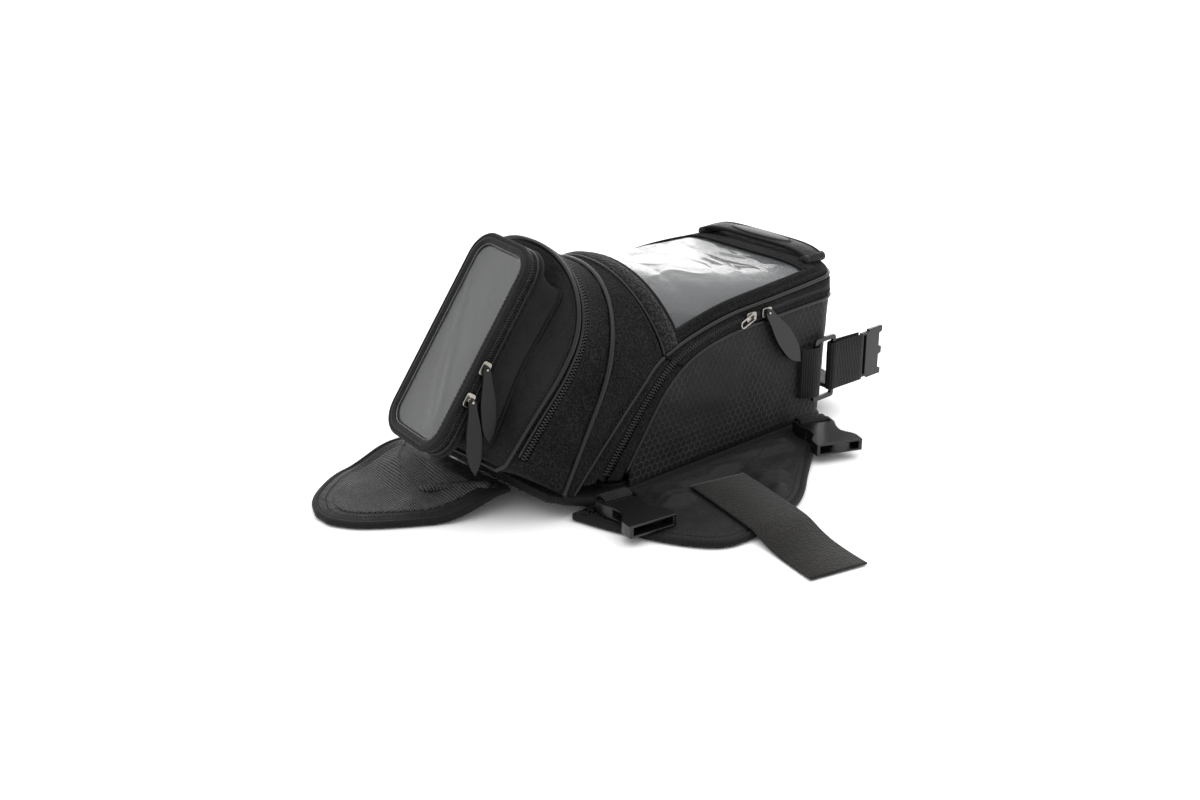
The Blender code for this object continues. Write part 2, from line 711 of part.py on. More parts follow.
def lid_rim(t0, t1, reach, across=14, along=12):
    """Closed loop of (t, a) marks round a rectangle of the lid."""
    loop = [(t0, reach * (2 * k / across - 1)) for k in range(across)]
    loop += [(t0 + (t1 - t0) * k / along, reach) for k in range(along)]
    loop += [(t1, reach * (1 - 2 * k / across)) for k in range(across)]
    loop += [(t1 - (t1 - t0) * k / along, -reach) for k in range(along)]
    return loop


def lid_ring(loop, depth):
    return [lid_point(t, a, depth) for t, a in loop]


def lid_patch(t0, t1, reach, depth, rows=10, columns=14):
    return [[lid_point(t0 + (t1 - t0) * i / rows, reach * (2 * k / columns - 1), depth)
             for k in range(columns + 1)] for i in range(rows + 1)]


def make_lid():
    loops = [lid_rim(0.0, 1.0, 1.0), lid_rim(0.04, 0.92, 0.96), lid_rim(0.085, 0.82, 0.90)]
    outer = [lid_ring(loop, 0.0) for loop in loops]
    inner = [lid_ring(loop, FABRIC) for loop in loops]
    add_object("lid_frame", thick_sheet("lid_frame", outer, inner, wrap=True), BLACK_BINDING)
    sheet = 0.0008
    top = FABRIC + 4 * GAP
    window = thick_sheet("lid_window", lid_patch(0.06, 0.85, 0.93, top),
                         lid_patch(0.06, 0.85, 0.93, top + sheet))
    add_object("lid_window", window, CLEAR_VINYL)
    low = top + sheet + 0.0015
    backing = thick_sheet("map_pocket_back", lid_patch(0.06, 0.93, 0.93, low),
                          lid_patch(0.06, 0.93, 0.93, low + 0.0012))
    add_object("map_pocket_back", backing, BLACK_NYLON)


def make_handle():
    """Padded grab handle bowed over the rear of the lid, on two sewn feet."""
    rows_top, rows_low = [], []
    count = 12
    for k in range(count + 1):
        share = 2 * k / count - 1
        x = 0.061 * share
        rise = 0.0036 * (1 - abs(share) ** 6)
        lid_z = shell_point(0.170, angle_for_x(0.170, abs(x))).z
        centre = Vector((x, 0.170, lid_z + 0.0045 + rise))
        half = 0.011
        thick = 0.0027
        rows_top.append([centre + Vector((0, -half, thick * 0.3)), centre + Vector((0, 0, thick)),
                         centre + Vector((0, half, thick * 0.3))])
        rows_low.append([centre + Vector((0, -half, -thick * 0.3)), centre + Vector((0, 0, -thick)),
                         centre + Vector((0, half, -thick * 0.3))])
    add_object("carry_handle", thick_sheet("carry_handle", rows_top, rows_low), BLACK_NYLON)


def angle_for_x(y, x):
    """Angle of the surface point at a distance x from the middle plane."""
    width, _, rise, exponent, _ = section(y)
    z = rise * (1 - min(0.999, x / width) ** exponent) ** (1 / exponent)
    return math.atan2(z, max(x, 1e-6))


# ---- magnet flaps -------------------------------------------------------------------------
FLAP_PAD = 0.0050
FLAP_COVER = 0.0012
WING_OUTLINE = [(0.0805, -0.116), (0.118, -0.104), (0.158, -0.087), (0.184, -0.068),
                (0.191, -0.046), (0.186, -0.010), (0.172, 0.034), (0.147, 0.070),
                (0.122, 0.104), (0.101, 0.128), (0.0805, 0.134)]
WING_MAGNETS = ((0.128, -0.066), (0.158, -0.030), (0.128, 0.050))


def magnet_recess(centre, low):
    disc = circle(MAGNET_RADIUS + 0.0005, 24, centre)
    return plate("recess", disc, low, 0.05)


def make_wings():
    outline = smooth_curve(WING_OUTLINE, 3)
    for name, side in (("right", 1), ("left", -1)):
        shape = [(side * x, y) for x, y in outline]
        centres = [(side * x, y) for x, y in WING_MAGNETS]
        floor = FLAP_PAD - MAGNET_THICKNESS - 0.0002
        pad = plate("wing_pad", shape, 0.0, FLAP_PAD)
        pad = carve(pad, [magnet_recess(c, floor) for c in centres])
        add_object("wing_pad_" + name, pad, GREY_FOAM)
        low = FLAP_PAD + GAP
        cover = plate("wing_cover", shape, low, low + FLAP_COVER)
        add_object("wing_cover_" + name, cover, BLACK_NYLON)
        for number, centre in enumerate(centres):
            disc = plate("magnet", circle(MAGNET_RADIUS, 24, centre), floor + 0.0001,
                         floor + 0.0001 + MAGNET_THICKNESS)
            add_object("wing_magnet_%s_%d" % (name, number + 1), disc, MAGNET_STEEL)


TONGUE_RIGHT = [(0.037, -0.142), (0.031, -0.168), (0.013, -0.203), (-0.013, -0.240),
                (-0.034, -0.2545)]
TONGUE_LEFT = [(-0.090, -0.142), (-0.100, -0.168), (-0.099, -0.203), (-0.075, -0.240),
               (-0.050, -0.2545)]


def tongue_height(y):
    """Underside height of the tongue flap: it drops from the base's front edge to the ground."""
    return 0.016 * ease(-0.196, -0.144, y)


def tongue_grid(lift):
    right = smooth_curve(TONGUE_RIGHT, 4)
    left = smooth_curve(TONGUE_LEFT, 4)
    grid = []
    for (xr, y), (xl, _) in zip(right, left):
        z = tongue_height(y) + lift
        grid.append([Vector((xl + (xr - xl) * k / 6, y, z)) for k in range(7)])
    return grid


def make_tongue():
    pad = thick_sheet("tongue_pad", tongue_grid(FLAP_PAD), tongue_grid(0.0))
    floor = FLAP_PAD - MAGNET_THICKNESS - 0.0002
    centres = ((-0.066, -0.217), (-0.026, -0.217))
    pad = carve(pad, [magnet_recess(c, floor) for c in centres])
    add_object("tongue_pad", pad, GREY_FOAM)
    low = FLAP_PAD + GAP
    cover = thick_sheet("tongue_cover", tongue_grid(low + FLAP_COVER), tongue_grid(low))
    add_object("tongue_cover", cover, BLACK_MESH)
    for number, centre in enumerate(centres):
        disc = plate("magnet", circle(MAGNET_RADIUS, 24, centre), floor + 0.0001,
                     floor + 0.0001 + MAGNET_THICKNESS)
        add_object("tongue_magnet_%d" % (number + 1), disc, MAGNET_STEEL)


def make_pull_strap():
    """Hook-and-loop strip lying over the right wing and past its edge."""
    turn = Matrix.Rotation(math.radians(-13.0), 3, "Z")
    root = Vector((0.115, 0.004, 0.0))
    along = turn @ Vector((1.0, 0.0, 0.0))
    across = turn @ Vector((0.0, 1.0, 0.0))
    on_wing = FLAP_PAD + FLAP_COVER + 2 * GAP + 0.001
    heights = ((0.0, on_wing), (0.03, on_wing), (0.066, on_wing), (0.086, on_wing - 0.0005),
               (0.104, 0.0035), (0.120, 0.0012), (0.158, 0.0010))
    path = [root + along * d + Vector((0, 0, z)) for d, z in heights]
    add_object("pull_strap", ribbon("pull_strap", path, across, 0.050, 0.0016), BLACK_WEBBING)


# ---- buckles ------------------------------------------------------------------------------
def female_buckle_mesh():
    """Socket half: mouth towards +X, web bar at the -X end, lying on the local XY plane."""
    half = BUCKLE_WIDTH / 2
    outline_half = smooth_curve([(0.0, half * 0.80), (0.012, half * 0.80), (0.020, half * 0.66),
                                 (0.030, half * 0.62), (0.038, half * 0.90), (0.043, half),
                                 (BUCKLE_LENGTH, half)], 2)
    outline = outline_half + [(x, -y) for x, y in outline_half[::-1]]
    body = plate("socket", outline, 0.0, BUCKLE_THICKNESS)
    wall = 0.0018
    mouth = box_mesh((0.019, -half + 0.0032, wall), (BUCKLE_LENGTH + 0.01, half - 0.0032,
                                                      BUCKLE_THICKNESS - wall))
    slot = box_mesh((0.0045, -half * 0.66, -0.01), (0.0105, half * 0.66, 0.02))
    return carve(body, [mouth, slot])


def buckle_webbing_path(reach):
    """Webbing from the body's edge, up round the web bar and back under itself."""
    low = 0.0016 + WEBBING / 2
    bar_top = BUCKLE_THICKNESS
    return [Vector((-reach, 0, low)), Vector((-reach * 0.5, 0, low + 0.001)),
            Vector((-0.006, 0, bar_top - 0.0015)), Vector((-0.0022, 0, bar_top + 0.0010)),
            Vector((0.0045, 0, bar_top + 0.0012)), Vector((0.0068, 0, bar_top - 0.0015)),
            Vector((0.0068, 0, 0.0035))]


BUCKLE_SEATS = (
    ("front_right", (0.094, -0.086), -9.0, 1),
    ("rear_right", (0.0945, 0.136), -22.0, 1),
    ("front_left", (-0.094, -0.086), 9.0, -1),
    ("rear_left", (-0.0945, 0.136), 22.0, -1),
)
BUCKLE_LIFT = FLAP_PAD + FLAP_COVER + 3 * GAP


def make_buckles():
    for name, (x, y), turn, side in BUCKLE_SEATS:
        spin = Matrix.Rotation(math.radians(turn + (180.0 if side < 0 else 0.0)), 4, "Z")
        place = Matrix.Translation((x, y, BUCKLE_LIFT)) @ spin
        add_object("buckle_" + name, female_buckle_mesh(), BLACK_ACETAL, place)
        path = buckle_webbing_path(0.009)
        strap = ribbon("buckle_webbing", path, (0, 1, 0), 0.025, WEBBING)
        add_object("buckle_webbing_" + name, strap, BLACK_WEBBING, place)


# ---- rear corner --------------------------------------------------------------------------
RING_X = HALF_WIDTH + 0.0050


def make_rear_corner():
    """Rectangular ring on the rear right corner, its loop, and the strap with the plug half."""
    facing_x = Matrix(((0, 0, 1, 0), (1, 0, 0, 0), (0, 1, 0, 0), (0, 0, 0, 1)))
    outer = rounded_rectangle(0.026, 0.056, 0.003, 3)
    inner = rounded_rectangle(0.0185, 0.0485, 0.0012, 3)
    ring = frame_plate("corner_ring", outer, inner, -0.0016, 0.0016)
    centre = (RING_X, 0.163, 0.052)
    add_object("corner_ring", ring, BLACK_ACETAL, Matrix.Translation(centre) @ facing_x)
    bar_front = 0.163 - 0.013 + 0.0019
    bar_rear = 0.163 + 0.013 - 0.0019
    clear = 0.0033
    loop = [Vector((HALF_WIDTH + 0.0010, bar_front - 0.0155, 0.052)),
            Vector((RING_X - clear, bar_front - 0.004, 0.052)),
            Vector((RING_X - clear, bar_front + 0.0025, 0.052)),
            Vector((RING_X, bar_front + 0.0050, 0.052)),
            Vector((RING_X + clear, bar_front + 0.0025, 0.052)),
            Vector((RING_X + clear, bar_front - 0.006, 0.052)),
            Vector((HALF_WIDTH + 0.0029, bar_front - 0.0155, 0.052))]
    add_object("ring_loop", ribbon("ring_loop", loop, (0, 0, 1), 0.044, WEBBING), BLACK_WEBBING)
    strap = [Vector((RING_X + clear + 0.001, 0.208, 0.052)),
             Vector((RING_X + clear, bar_rear + 0.006, 0.052)),
             Vector((RING_X + clear, bar_rear - 0.0025, 0.052)),
             Vector((RING_X, bar_rear - 0.0050, 0.052)),
             Vector((RING_X - clear, bar_rear - 0.0025, 0.052)),
             Vector((RING_X - clear, bar_rear + 0.006, 0.052)),
             Vector((RING_X - 0.0010, 0.208, 0.052))]
    add_object("rear_strap", ribbon("rear_strap", strap, (0, 0, 1), 0.042, WEBBING),
               BLACK_WEBBING)
    half = 0.0220
    side = [(0.0, half * 0.92), (0.009, half * 0.92), (0.009, half), (0.027, half),
            (0.027, half - 0.005), (0.0235, half - 0.0065), (0.0235, 0.004), (0.027, 0.003)]
    outline = side + [(x, -y) for x, y in side[::-1]]
    plug = plate("plug", outline, -0.0017, 0.0017)
    slot = box_mesh((0.0025, -half * 0.82, -0.01), (0.0058, half * 0.82, 0.01))
    place = Matrix.Translation((RING_X + 0.0016, 0.2085, 0.052)) @ Matrix(
        ((0, 0, 1, 0), (1, 0, 0, 0), (0, 1, 0, 0), (0, 0, 0, 1)))
    add_object("rear_plug_buckle", carve(plug, [slot]), BLACK_ACETAL, place)
    tab = [(0.046 * math.cos(math.pi * k / 14), 0.030 * math.sin(math.pi * k / 14))
           for k in range(15)]
    add_object("rear_tab", plate("rear_tab", tab, 0.022, 0.026), BLACK_NYLON,
               Matrix.Translation((0.022, REAR_Y - REAR_LEAN * 0.80 + 0.0075, 0.0)))


# ---- joint pivots -------------------------------------------------------------------------
def hang_on(pivot, point, pieces):
    """Parent pieces to an empty on their joint's axis, leaving them where they are."""
    empty = bpy.data.objects.new(pivot, None)
    empty.location = point
    bpy.context.scene.collection.objects.link(empty)
    for name in pieces:
        piece = bpy.data.objects[name]
        piece.parent = empty
        piece.matrix_parent_inverse = Matrix.Translation(point).inverted()


def make_pivots():
    hang_on("lid_pivot", (0.0, -0.045, 0.165),
            ("lid_frame", "lid_window", "map_pocket_back", "lid_skirt"))
    hang_on("handle_pivot", (0.0, 0.181, 0.1445), ("carry_handle",))
    hang_on("arch_door_pivot", POCKET_FOOT, ("arch_door_panel", "phone_bellows", "phone_tub"))
    phone_foot = phone_place() @ Vector((0.0, -PHONE_LENGTH / 2, -0.0022))
    hang_on("phone_door_pivot", phone_foot, ("phone_door_frame", "phone_window"))
    hang_on("tongue_pivot", (0.0, -0.141, 0.0185),
            ("tongue_pad", "tongue_cover", "tongue_magnet_1", "tongue_magnet_2"))
    for name, side in (("right", 1), ("left", -1)):
        magnets = tuple("wing_magnet_%s_%d" % (name, k) for k in (1, 2, 3))
        hang_on("wing_pivot_" + name, (side * 0.0795, 0.0, 0.0005),
                ("wing_pad_" + name, "wing_cover_" + name) + magnets)
    hang_on("hook_strap_pivot", (0.115, 0.004, 0.0085), ("pull_strap",))
    for name, (x, y), turn, side in BUCKLE_SEATS:
        spin = Matrix.Rotation(math.radians(turn + (180.0 if side < 0 else 0.0)), 4, "Z")
        place = Matrix.Translation((x, y, BUCKLE_LIFT)) @ spin
        hang_on("buckle_pivot_" + name, place @ Vector((-0.0085, 0.0, 0.0025)),
                ("buckle_" + name, "buckle_webbing_" + name))
    hang_on("ring_pivot", (RING_X, 0.1519, 0.052), ("corner_ring",))
    hang_on("rear_strap_pivot", (RING_X, 0.1741, 0.052), ("rear_strap", "rear_plug_buckle"))


def main():
    clear_scene()
    make_base()
    make_walls()
    make_zip_tapes()
    make_yoke()
    make_arch_pocket()
    make_phone_pocket()
    make_main_zip()
    make_phone_zip()
    make_arch_zip()
    make_lid()
    make_handle()
    make_wings()
    make_tongue()
    make_pull_strap()
    make_buckles()
    make_rear_corner()
    make_pivots()


main()
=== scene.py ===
# %% [markdown]
# # A magnetic tank bag
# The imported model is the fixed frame: its named solids already stand at the right size and place.
# Every visible piece below is built around them in the same metres, so nothing has to be fitted.

# %% Load the frame
import math

import bmesh
import bpy
from mathutils import Matrix, Vector, noise


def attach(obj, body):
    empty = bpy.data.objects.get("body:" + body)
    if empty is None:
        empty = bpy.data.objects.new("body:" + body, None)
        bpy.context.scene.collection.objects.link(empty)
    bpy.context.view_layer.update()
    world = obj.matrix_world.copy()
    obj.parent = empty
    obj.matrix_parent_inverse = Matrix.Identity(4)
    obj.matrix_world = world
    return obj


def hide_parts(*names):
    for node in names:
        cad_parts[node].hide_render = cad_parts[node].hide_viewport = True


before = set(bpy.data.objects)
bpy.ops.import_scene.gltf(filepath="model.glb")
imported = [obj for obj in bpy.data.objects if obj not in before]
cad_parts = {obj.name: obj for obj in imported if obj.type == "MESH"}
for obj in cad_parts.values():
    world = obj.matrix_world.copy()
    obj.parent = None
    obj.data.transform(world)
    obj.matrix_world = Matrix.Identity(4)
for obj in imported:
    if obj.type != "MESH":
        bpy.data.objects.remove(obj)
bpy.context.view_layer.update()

# %% [markdown]
# Colours are easiest to read as the hex codes of a paint chart. Those are sRGB, and a shader
# wants linear light, so one function turns each code. One more small function adds a shader
# node with its settings and links, which keeps every material below to a few lines.

# %% Colour and node helpers
def from_hex(code):
    """Linear RGBA of an sRGB hex code."""
    parts = [int(code[i:i + 2], 16) / 255 for i in (1, 3, 5)]
    linear = [p / 12.92 if p <= 0.04045 else ((p + 0.055) / 1.055) ** 2.4 for p in parts]
    return (*linear, 1.0)


def add(tree, kind, sockets=None, **settings):
    """Add a node: sockets hold values or links to other nodes' outputs."""
    node = tree.nodes.new("ShaderNode" + kind)
    for name, value in settings.items():
        setattr(node, name, value)
    for name, value in (sockets or {}).items():
        if isinstance(value, bpy.types.NodeSocket):
            tree.links.new(value, node.inputs[name])
        else:
            node.inputs[name].default_value = value
    return node


print("black dye, linear:", [round(c, 4) for c in from_hex("#1d1d1e")[:3]])

# %% [markdown]
# Black fabrics differ in their surface, not their colour. Each finish here is a dark and a
# slightly lighter thread colour, mixed by a pattern that also drives the bump. A slow blotch over
# both stands for dust, rubbing and uneven dye. So a finish is one function with a pattern.

# %% Base finish
def finish(name, dark, light, roughness, pattern=None, bump_mm=0.0, sheen=0.0, blotch=0.25,
           metallic=0.0, shine=0.5):
    made = bpy.data.materials.new(name)
    made.use_nodes = True
    tree = made.node_tree
    shader = tree.nodes["Principled BSDF"]
    shader.inputs["Roughness"].default_value = roughness
    shader.inputs["Metallic"].default_value = metallic
    shader.inputs["Specular IOR Level"].default_value = shine
    shader.inputs["Sheen Weight"].default_value = sheen
    shader.inputs["Sheen Roughness"].default_value = 0.45
    place = add(tree, "TexCoord").outputs["Object"]
    slow = add(tree, "TexNoise", {"Vector": place, "Scale": 34.0, "Detail": 4.0}).outputs["Fac"]
    if pattern is None:
        factor = add(tree, "TexNoise", {"Vector": place, "Scale": 1500.0, "Detail": 2.0})
        factor = factor.outputs["Fac"]
    else:
        factor = pattern(tree, place)
    colour = add(tree, "Mix", {0: factor, 6: from_hex(dark), 7: from_hex(light)},
                 data_type="RGBA").outputs[2]
    shade = add(tree, "MapRange", {"Value": slow, "From Min": 0.3, "From Max": 0.7,
                                   "To Min": 1.0 - blotch, "To Max": 1.0 + blotch})
    colour = add(tree, "VectorMath", {0: colour, "Scale": shade.outputs["Result"]},
                 operation="SCALE").outputs[0]
    tree.links.new(colour, shader.inputs["Base Color"])
    if bump_mm:
        bump = add(tree, "Bump", {"Height": factor, "Distance": bump_mm / 1000, "Strength": 0.8})
        tree.links.new(bump.outputs["Normal"], shader.inputs["Normal"])
    return made


# %% [markdown]
# The yoke, gusset and zip tapes are 600-denier polyester oxford: thick threads in a basket weave.
# Its threads are about 0.6 mm, too fine to show, so the grain is drawn at about 1.6 mm. The weave
# breaks light into specks, so the cloth looks matte and sandy. The holes of the spacer mesh are
# about 2 mm apart and are drawn at 3 mm for the same reason. Cloth hides most of its gloss in its
# own shadows, so each finish also says how much shine is left.

# %% Woven and knitted patterns
def grain(size_mm):
    def pattern(tree, place):
        cells = add(tree, "TexVoronoi", {"Vector": place, "Scale": 1000 / size_mm})
        fuzz = add(tree, "TexNoise", {"Vector": place, "Scale": 1400 / size_mm, "Detail": 3.0})
        both = add(tree, "Math", {0: cells.outputs["Distance"], 1: fuzz.outputs["Fac"]},
                   operation="MULTIPLY")
        return add(tree, "MapRange", {"Value": both.outputs[0], "From Min": 0.08,
                                      "From Max": 0.42}).outputs["Result"]
    return pattern


def ribs(pitch_mm, along=True):
    """Raised ribs across a strip; the piece's own flat map is in metres."""
    def pattern(tree, place):
        flat = add(tree, "SeparateXYZ", {0: add(tree, "UVMap", uv_map="flat").outputs[0]})
        turned = add(tree, "Math", {0: flat.outputs["Y" if along else "X"],
                                    1: 2000 * math.pi / pitch_mm}, operation="MULTIPLY")
        wave = add(tree, "Math", {0: turned.outputs[0]}, operation="SINE").outputs[0]
        fuzz = add(tree, "TexNoise", {"Vector": place, "Scale": 900.0, "Detail": 2.0})
        both = add(tree, "Math", {0: wave, 1: 0.35, 2: fuzz.outputs["Fac"]},
                   operation="MULTIPLY_ADD")
        return add(tree, "MapRange", {"Value": both.outputs[0], "From Min": 0.1,
                                      "From Max": 0.9}).outputs["Result"]
    return pattern


def mesh_holes(pitch_mm):
    """Slanted rows of small eyelets, as in a knitted spacer mesh."""
    def pattern(tree, place):
        flat = add(tree, "SeparateXYZ", {0: place})
        rows = []
        for slant, share in ((0.55, 1.0), (-1.3, 1.25)):
            mixed = add(tree, "Math", {0: flat.outputs["Y"], 1: slant, 2: flat.outputs["X"]},
                        operation="MULTIPLY_ADD").outputs[0]
            turned = add(tree, "Math", {0: mixed, 1: 2000 * math.pi / pitch_mm / share},
                         operation="MULTIPLY").outputs[0]
            rows.append(add(tree, "Math", {0: turned}, operation="SINE").outputs[0])
        both = add(tree, "Math", {0: rows[0], 1: rows[1]}, operation="MULTIPLY").outputs[0]
        fuzz = add(tree, "TexNoise", {"Vector": place, "Scale": 600.0, "Detail": 2.0})
        both = add(tree, "Math", {0: both, 1: 0.6, 2: fuzz.outputs["Fac"]},
                   operation="MULTIPLY_ADD").outputs[0]
        return add(tree, "MapRange", {"Value": both, "From Min": 0.2,
                                      "From Max": 0.95}).outputs["Result"]
    return pattern


def crinkle(size_mm):
    """The soft random creases of a coated nylon."""
    def pattern(tree, place):
        folds = add(tree, "TexNoise", {"Vector": place, "Scale": 1000 / size_mm, "Detail": 5.0,
                                       "Distortion": 1.2})
        fine = add(tree, "TexNoise", {"Vector": place, "Scale": 1300.0, "Detail": 2.0})
        return add(tree, "Math", {0: fine.outputs["Fac"], 1: 0.35, 2: folds.outputs["Fac"]},
                   operation="MULTIPLY_ADD").outputs[0]
    return pattern


oxford = finish("polyester oxford, woven", "#030303", "#1e1e20", 0.82, grain(1.6), 0.6, 0.03,
                shine=0.09)
lining = finish("polyester taffeta lining, woven", "#0c0c0d", "#202022", 0.7, grain(1.4), 0.2,
                shine=0.2)
nylon = finish("PU-coated nylon, calendered", "#060607", "#141415", 0.5, crinkle(16), 1.8, 0.04,
               shine=0.18)
band_knit = finish("elastic mesh band, knitted", "#050505", "#2b2b2d", 0.85, grain(2.2), 0.9,
                   0.1, shine=0.12)
spacer = finish("spacer mesh, knitted", "#020202", "#58585a", 0.7, mesh_holes(3.0), 0.9, 0.05,
                shine=0.15)
grosgrain = finish("grosgrain binding, ribbed", "#040404", "#171718", 0.7, ribs(1.8), 0.35, 0.04,
                   shine=0.16)
webbing = finish("polyester webbing, woven", "#060606", "#1f1f21", 0.7, ribs(2.0), 0.4, 0.05,
                 shine=0.16)
print("cloth finishes:", len(bpy.data.materials))

# %% [markdown]
# The side panels are coated nylon pressed between honeycomb plates, with cells about 6 mm
# across. The pressed lines are slightly raised and are drawn lighter than the cells. The cells
# come from arithmetic: two offset grids of points, the nearer one taken, and the distance to its
# cell wall. A noise mask makes the lines fade in and out at random.

# %% Honeycomb emboss
def honeycomb(cell_mm):
    cell = cell_mm / 1000
    pitch = (cell, cell * math.sqrt(3), 1.0)

    def pattern(tree, place):
        split = add(tree, "SeparateXYZ", {0: place})
        flat = add(tree, "CombineXYZ", {0: split.outputs["Y"], 1: split.outputs["Z"], 2: 0.5})
        walls = []
        for shift in (0.0, 0.5):
            moved = add(tree, "VectorMath", {0: flat.outputs[0],
                                             1: tuple(p * shift for p in pitch)}).outputs[0]
            wrapped = add(tree, "VectorMath", {0: moved, 1: pitch, 2: (0, 0, 0)},
                          operation="WRAP").outputs[0]
            centred = add(tree, "VectorMath", {0: wrapped, 1: tuple(p / 2 for p in pitch)},
                          operation="SUBTRACT").outputs[0]
            size = add(tree, "VectorMath", {0: centred}, operation="ABSOLUTE").outputs[0]
            slanted = add(tree, "VectorMath", {0: size, 1: (0.5, math.sqrt(3) / 2, 0)},
                          operation="DOT_PRODUCT").outputs["Value"]
            across = add(tree, "SeparateXYZ", {0: size}).outputs["X"]
            walls.append(add(tree, "Math", {0: slanted, 1: across},
                             operation="MAXIMUM").outputs[0])
        nearest = add(tree, "Math", {0: walls[0], 1: walls[1]}, operation="MINIMUM").outputs[0]
        line = add(tree, "MapRange", {"Value": nearest, "From Min": cell * 0.38,
                                      "From Max": cell * 0.49}).outputs["Result"]
        mask = add(tree, "TexNoise", {"Vector": place, "Scale": 14.0, "Detail": 3.0})
        mask = add(tree, "MapRange", {"Value": mask.outputs["Fac"], "From Min": 0.36,
                                      "From Max": 0.6, "To Min": 0.25}).outputs["Result"]
        line = add(tree, "Math", {0: line, 1: mask}, operation="MULTIPLY").outputs[0]
        fuzz = add(tree, "TexNoise", {"Vector": place, "Scale": 1100.0, "Detail": 3.0})
        return add(tree, "Math", {0: fuzz.outputs["Fac"], 1: 0.45, 2: line},
                   operation="MULTIPLY_ADD").outputs[0]
    return pattern


embossed = finish("coated nylon, honeycomb-embossed", "#040404", "#2a2a2c", 0.55,
                  honeycomb(6.2), 0.6, 0.04, shine=0.16)
print("honeycomb cell 6.2 mm, rows", round(6.2 * math.sqrt(3) / 2, 2), "mm apart")

# %% [markdown]
# Hard trim and film. Acetal buckles leave the mould with a fine spark-eroded grain and a dull
# gloss. Zip coils are smooth nylon monofilament. Pulls are soft moulded rubber. Sliders are
# zinc with a bright nickel plate that tarnishes a little in the recesses. The windows are clear
# soft vinyl, which hazes to grey and keeps a wet gloss; alpha lets the dark lining show through.

# %% Moulded, plated and clear finishes
acetal = finish("acetal, moulded", "#0a0a0b", "#131314", 0.3, None, 0.05, 0.0, 0.1, shine=0.4)
coil_nylon = finish("nylon monofilament coil, drawn", "#0c0c0d", "#242426", 0.3, None, shine=0.45)
piping_vinyl = finish("vinyl piping cord, extruded", "#060607", "#101011", 0.36, None, 0.08,
                      shine=0.34)
rubber = finish("rubber pull, moulded", "#090909", "#121213", 0.4, None, 0.05, 0.0, 0.1,
                shine=0.3)
thread = finish("polyester thread, twisted", "#0e0e0f", "#2a2a2c", 0.6, None, shine=0.25)
nickel = finish("zinc, nickel-plated", "#7d7972", "#b9b5ad", 0.26, None, 0.03, 0.0, 0.2, 1.0)
magnet_plate = finish("ferrite magnet, zinc-plated", "#77797c", "#a5a7aa", 0.35, None, 0.0, 0.0,
                      0.1, 1.0)
polyethylene = finish("polyethylene board, extruded", "#131415", "#1e1f20", 0.5, None, 0.05)


def clear_film(name, tint, alpha):
    made = finish(name, tint, tint, 0.13, crinkle(60), 1.2, 0.0, 0.06)
    shader = made.node_tree.nodes["Principled BSDF"]
    shader.inputs["Alpha"].default_value = alpha
    shader.inputs["IOR"].default_value = 1.53
    shader.inputs["Coat Weight"].default_value = 0.5
    shader.inputs["Coat Roughness"].default_value = 0.05
    return made


phone_vinyl = clear_film("soft vinyl, calendered, hazed", "#474849", 0.88)
map_vinyl = clear_film("soft vinyl, calendered, clear", "#3d3f41", 0.86)
print("finishes:", len(bpy.data.materials))

# %% [markdown]
# Two mesh helpers do most of the sewing. The first turns a grid of points into a panel: it finds
# which way is outwards, adds small creases by moving points along the surface, and gives the
# cloth its thickness. It also keeps a flat map in metres, for patterns that follow the cloth.

# %% Panel helper
def flat_map(mesh, flat):
    """Keep each point's place on the flat cloth, in metres, for the ribbed finishes."""
    layer = mesh.uv_layers.new(name="flat")
    for loop in mesh.loops:
        layer.data[loop.index].uv = flat[loop.vertex_index]


def place_piece(name, mesh, cloth, body, stands_for=()):
    """One visible piece: its mesh, its finish, the body it rides on, the solids it replaces."""
    piece = bpy.data.objects.new(name, mesh)
    bpy.context.scene.collection.objects.link(piece)
    mesh.materials.append(cloth)
    mesh.shade_smooth()
    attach(piece, body)
    if stands_for:
        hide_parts(*stands_for)
    return piece


def panel(name, grid, inside, cloth, body, stands_for=(), thick=0.0012, wrap=False, crease=None,
          caps=()):
    """A cloth panel from rows of points; caps closes the first or last row of a wrapped one."""
    rows, columns = len(grid), len(grid[0])
    verts = [Vector(p) for row in grid for p in row]
    last = columns if wrap else columns - 1
    faces = [(i * columns + j, (i + 1) * columns + j, (i + 1) * columns + (j + 1) % columns,
              i * columns + (j + 1) % columns) for i in range(rows - 1) for j in range(last)]
    if "first" in caps:
        faces.append(tuple(range(columns)))
    if "last" in caps:
        faces.append(tuple(range(rows * columns - columns, rows * columns))[::-1])
    flat, down = [], 0.0
    for i, row in enumerate(grid):
        down += (Vector(row[columns // 2]) - Vector(grid[i - 1][columns // 2])).length if i else 0
        across = 0.0
        for j, point in enumerate(row):
            across += (Vector(point) - Vector(row[j - 1])).length if j else 0.0
            flat.append((across, down))
    mesh = bpy.data.meshes.new(name)
    mesh.from_pydata(verts, [], faces)
    inside = Vector(inside)
    if sum(f.normal.dot(f.center - inside) * f.area for f in mesh.polygons) < 0:
        mesh.flip_normals()
    flat_map(mesh, flat)
    if crease:
        normals = [v.normal.copy() for v in mesh.vertices]
        for k, vertex in enumerate(mesh.vertices):
            i, j = divmod(k, columns)
            vertex.co += normals[k] * crease(vertex.co, i / (rows - 1), j / max(1, last))
    piece = place_piece(name, mesh, cloth, body, stands_for)
    if thick:
        solid = piece.modifiers.new("thickness", "SOLIDIFY")
        solid.thickness = thick
        solid.offset = -1.0
    return piece


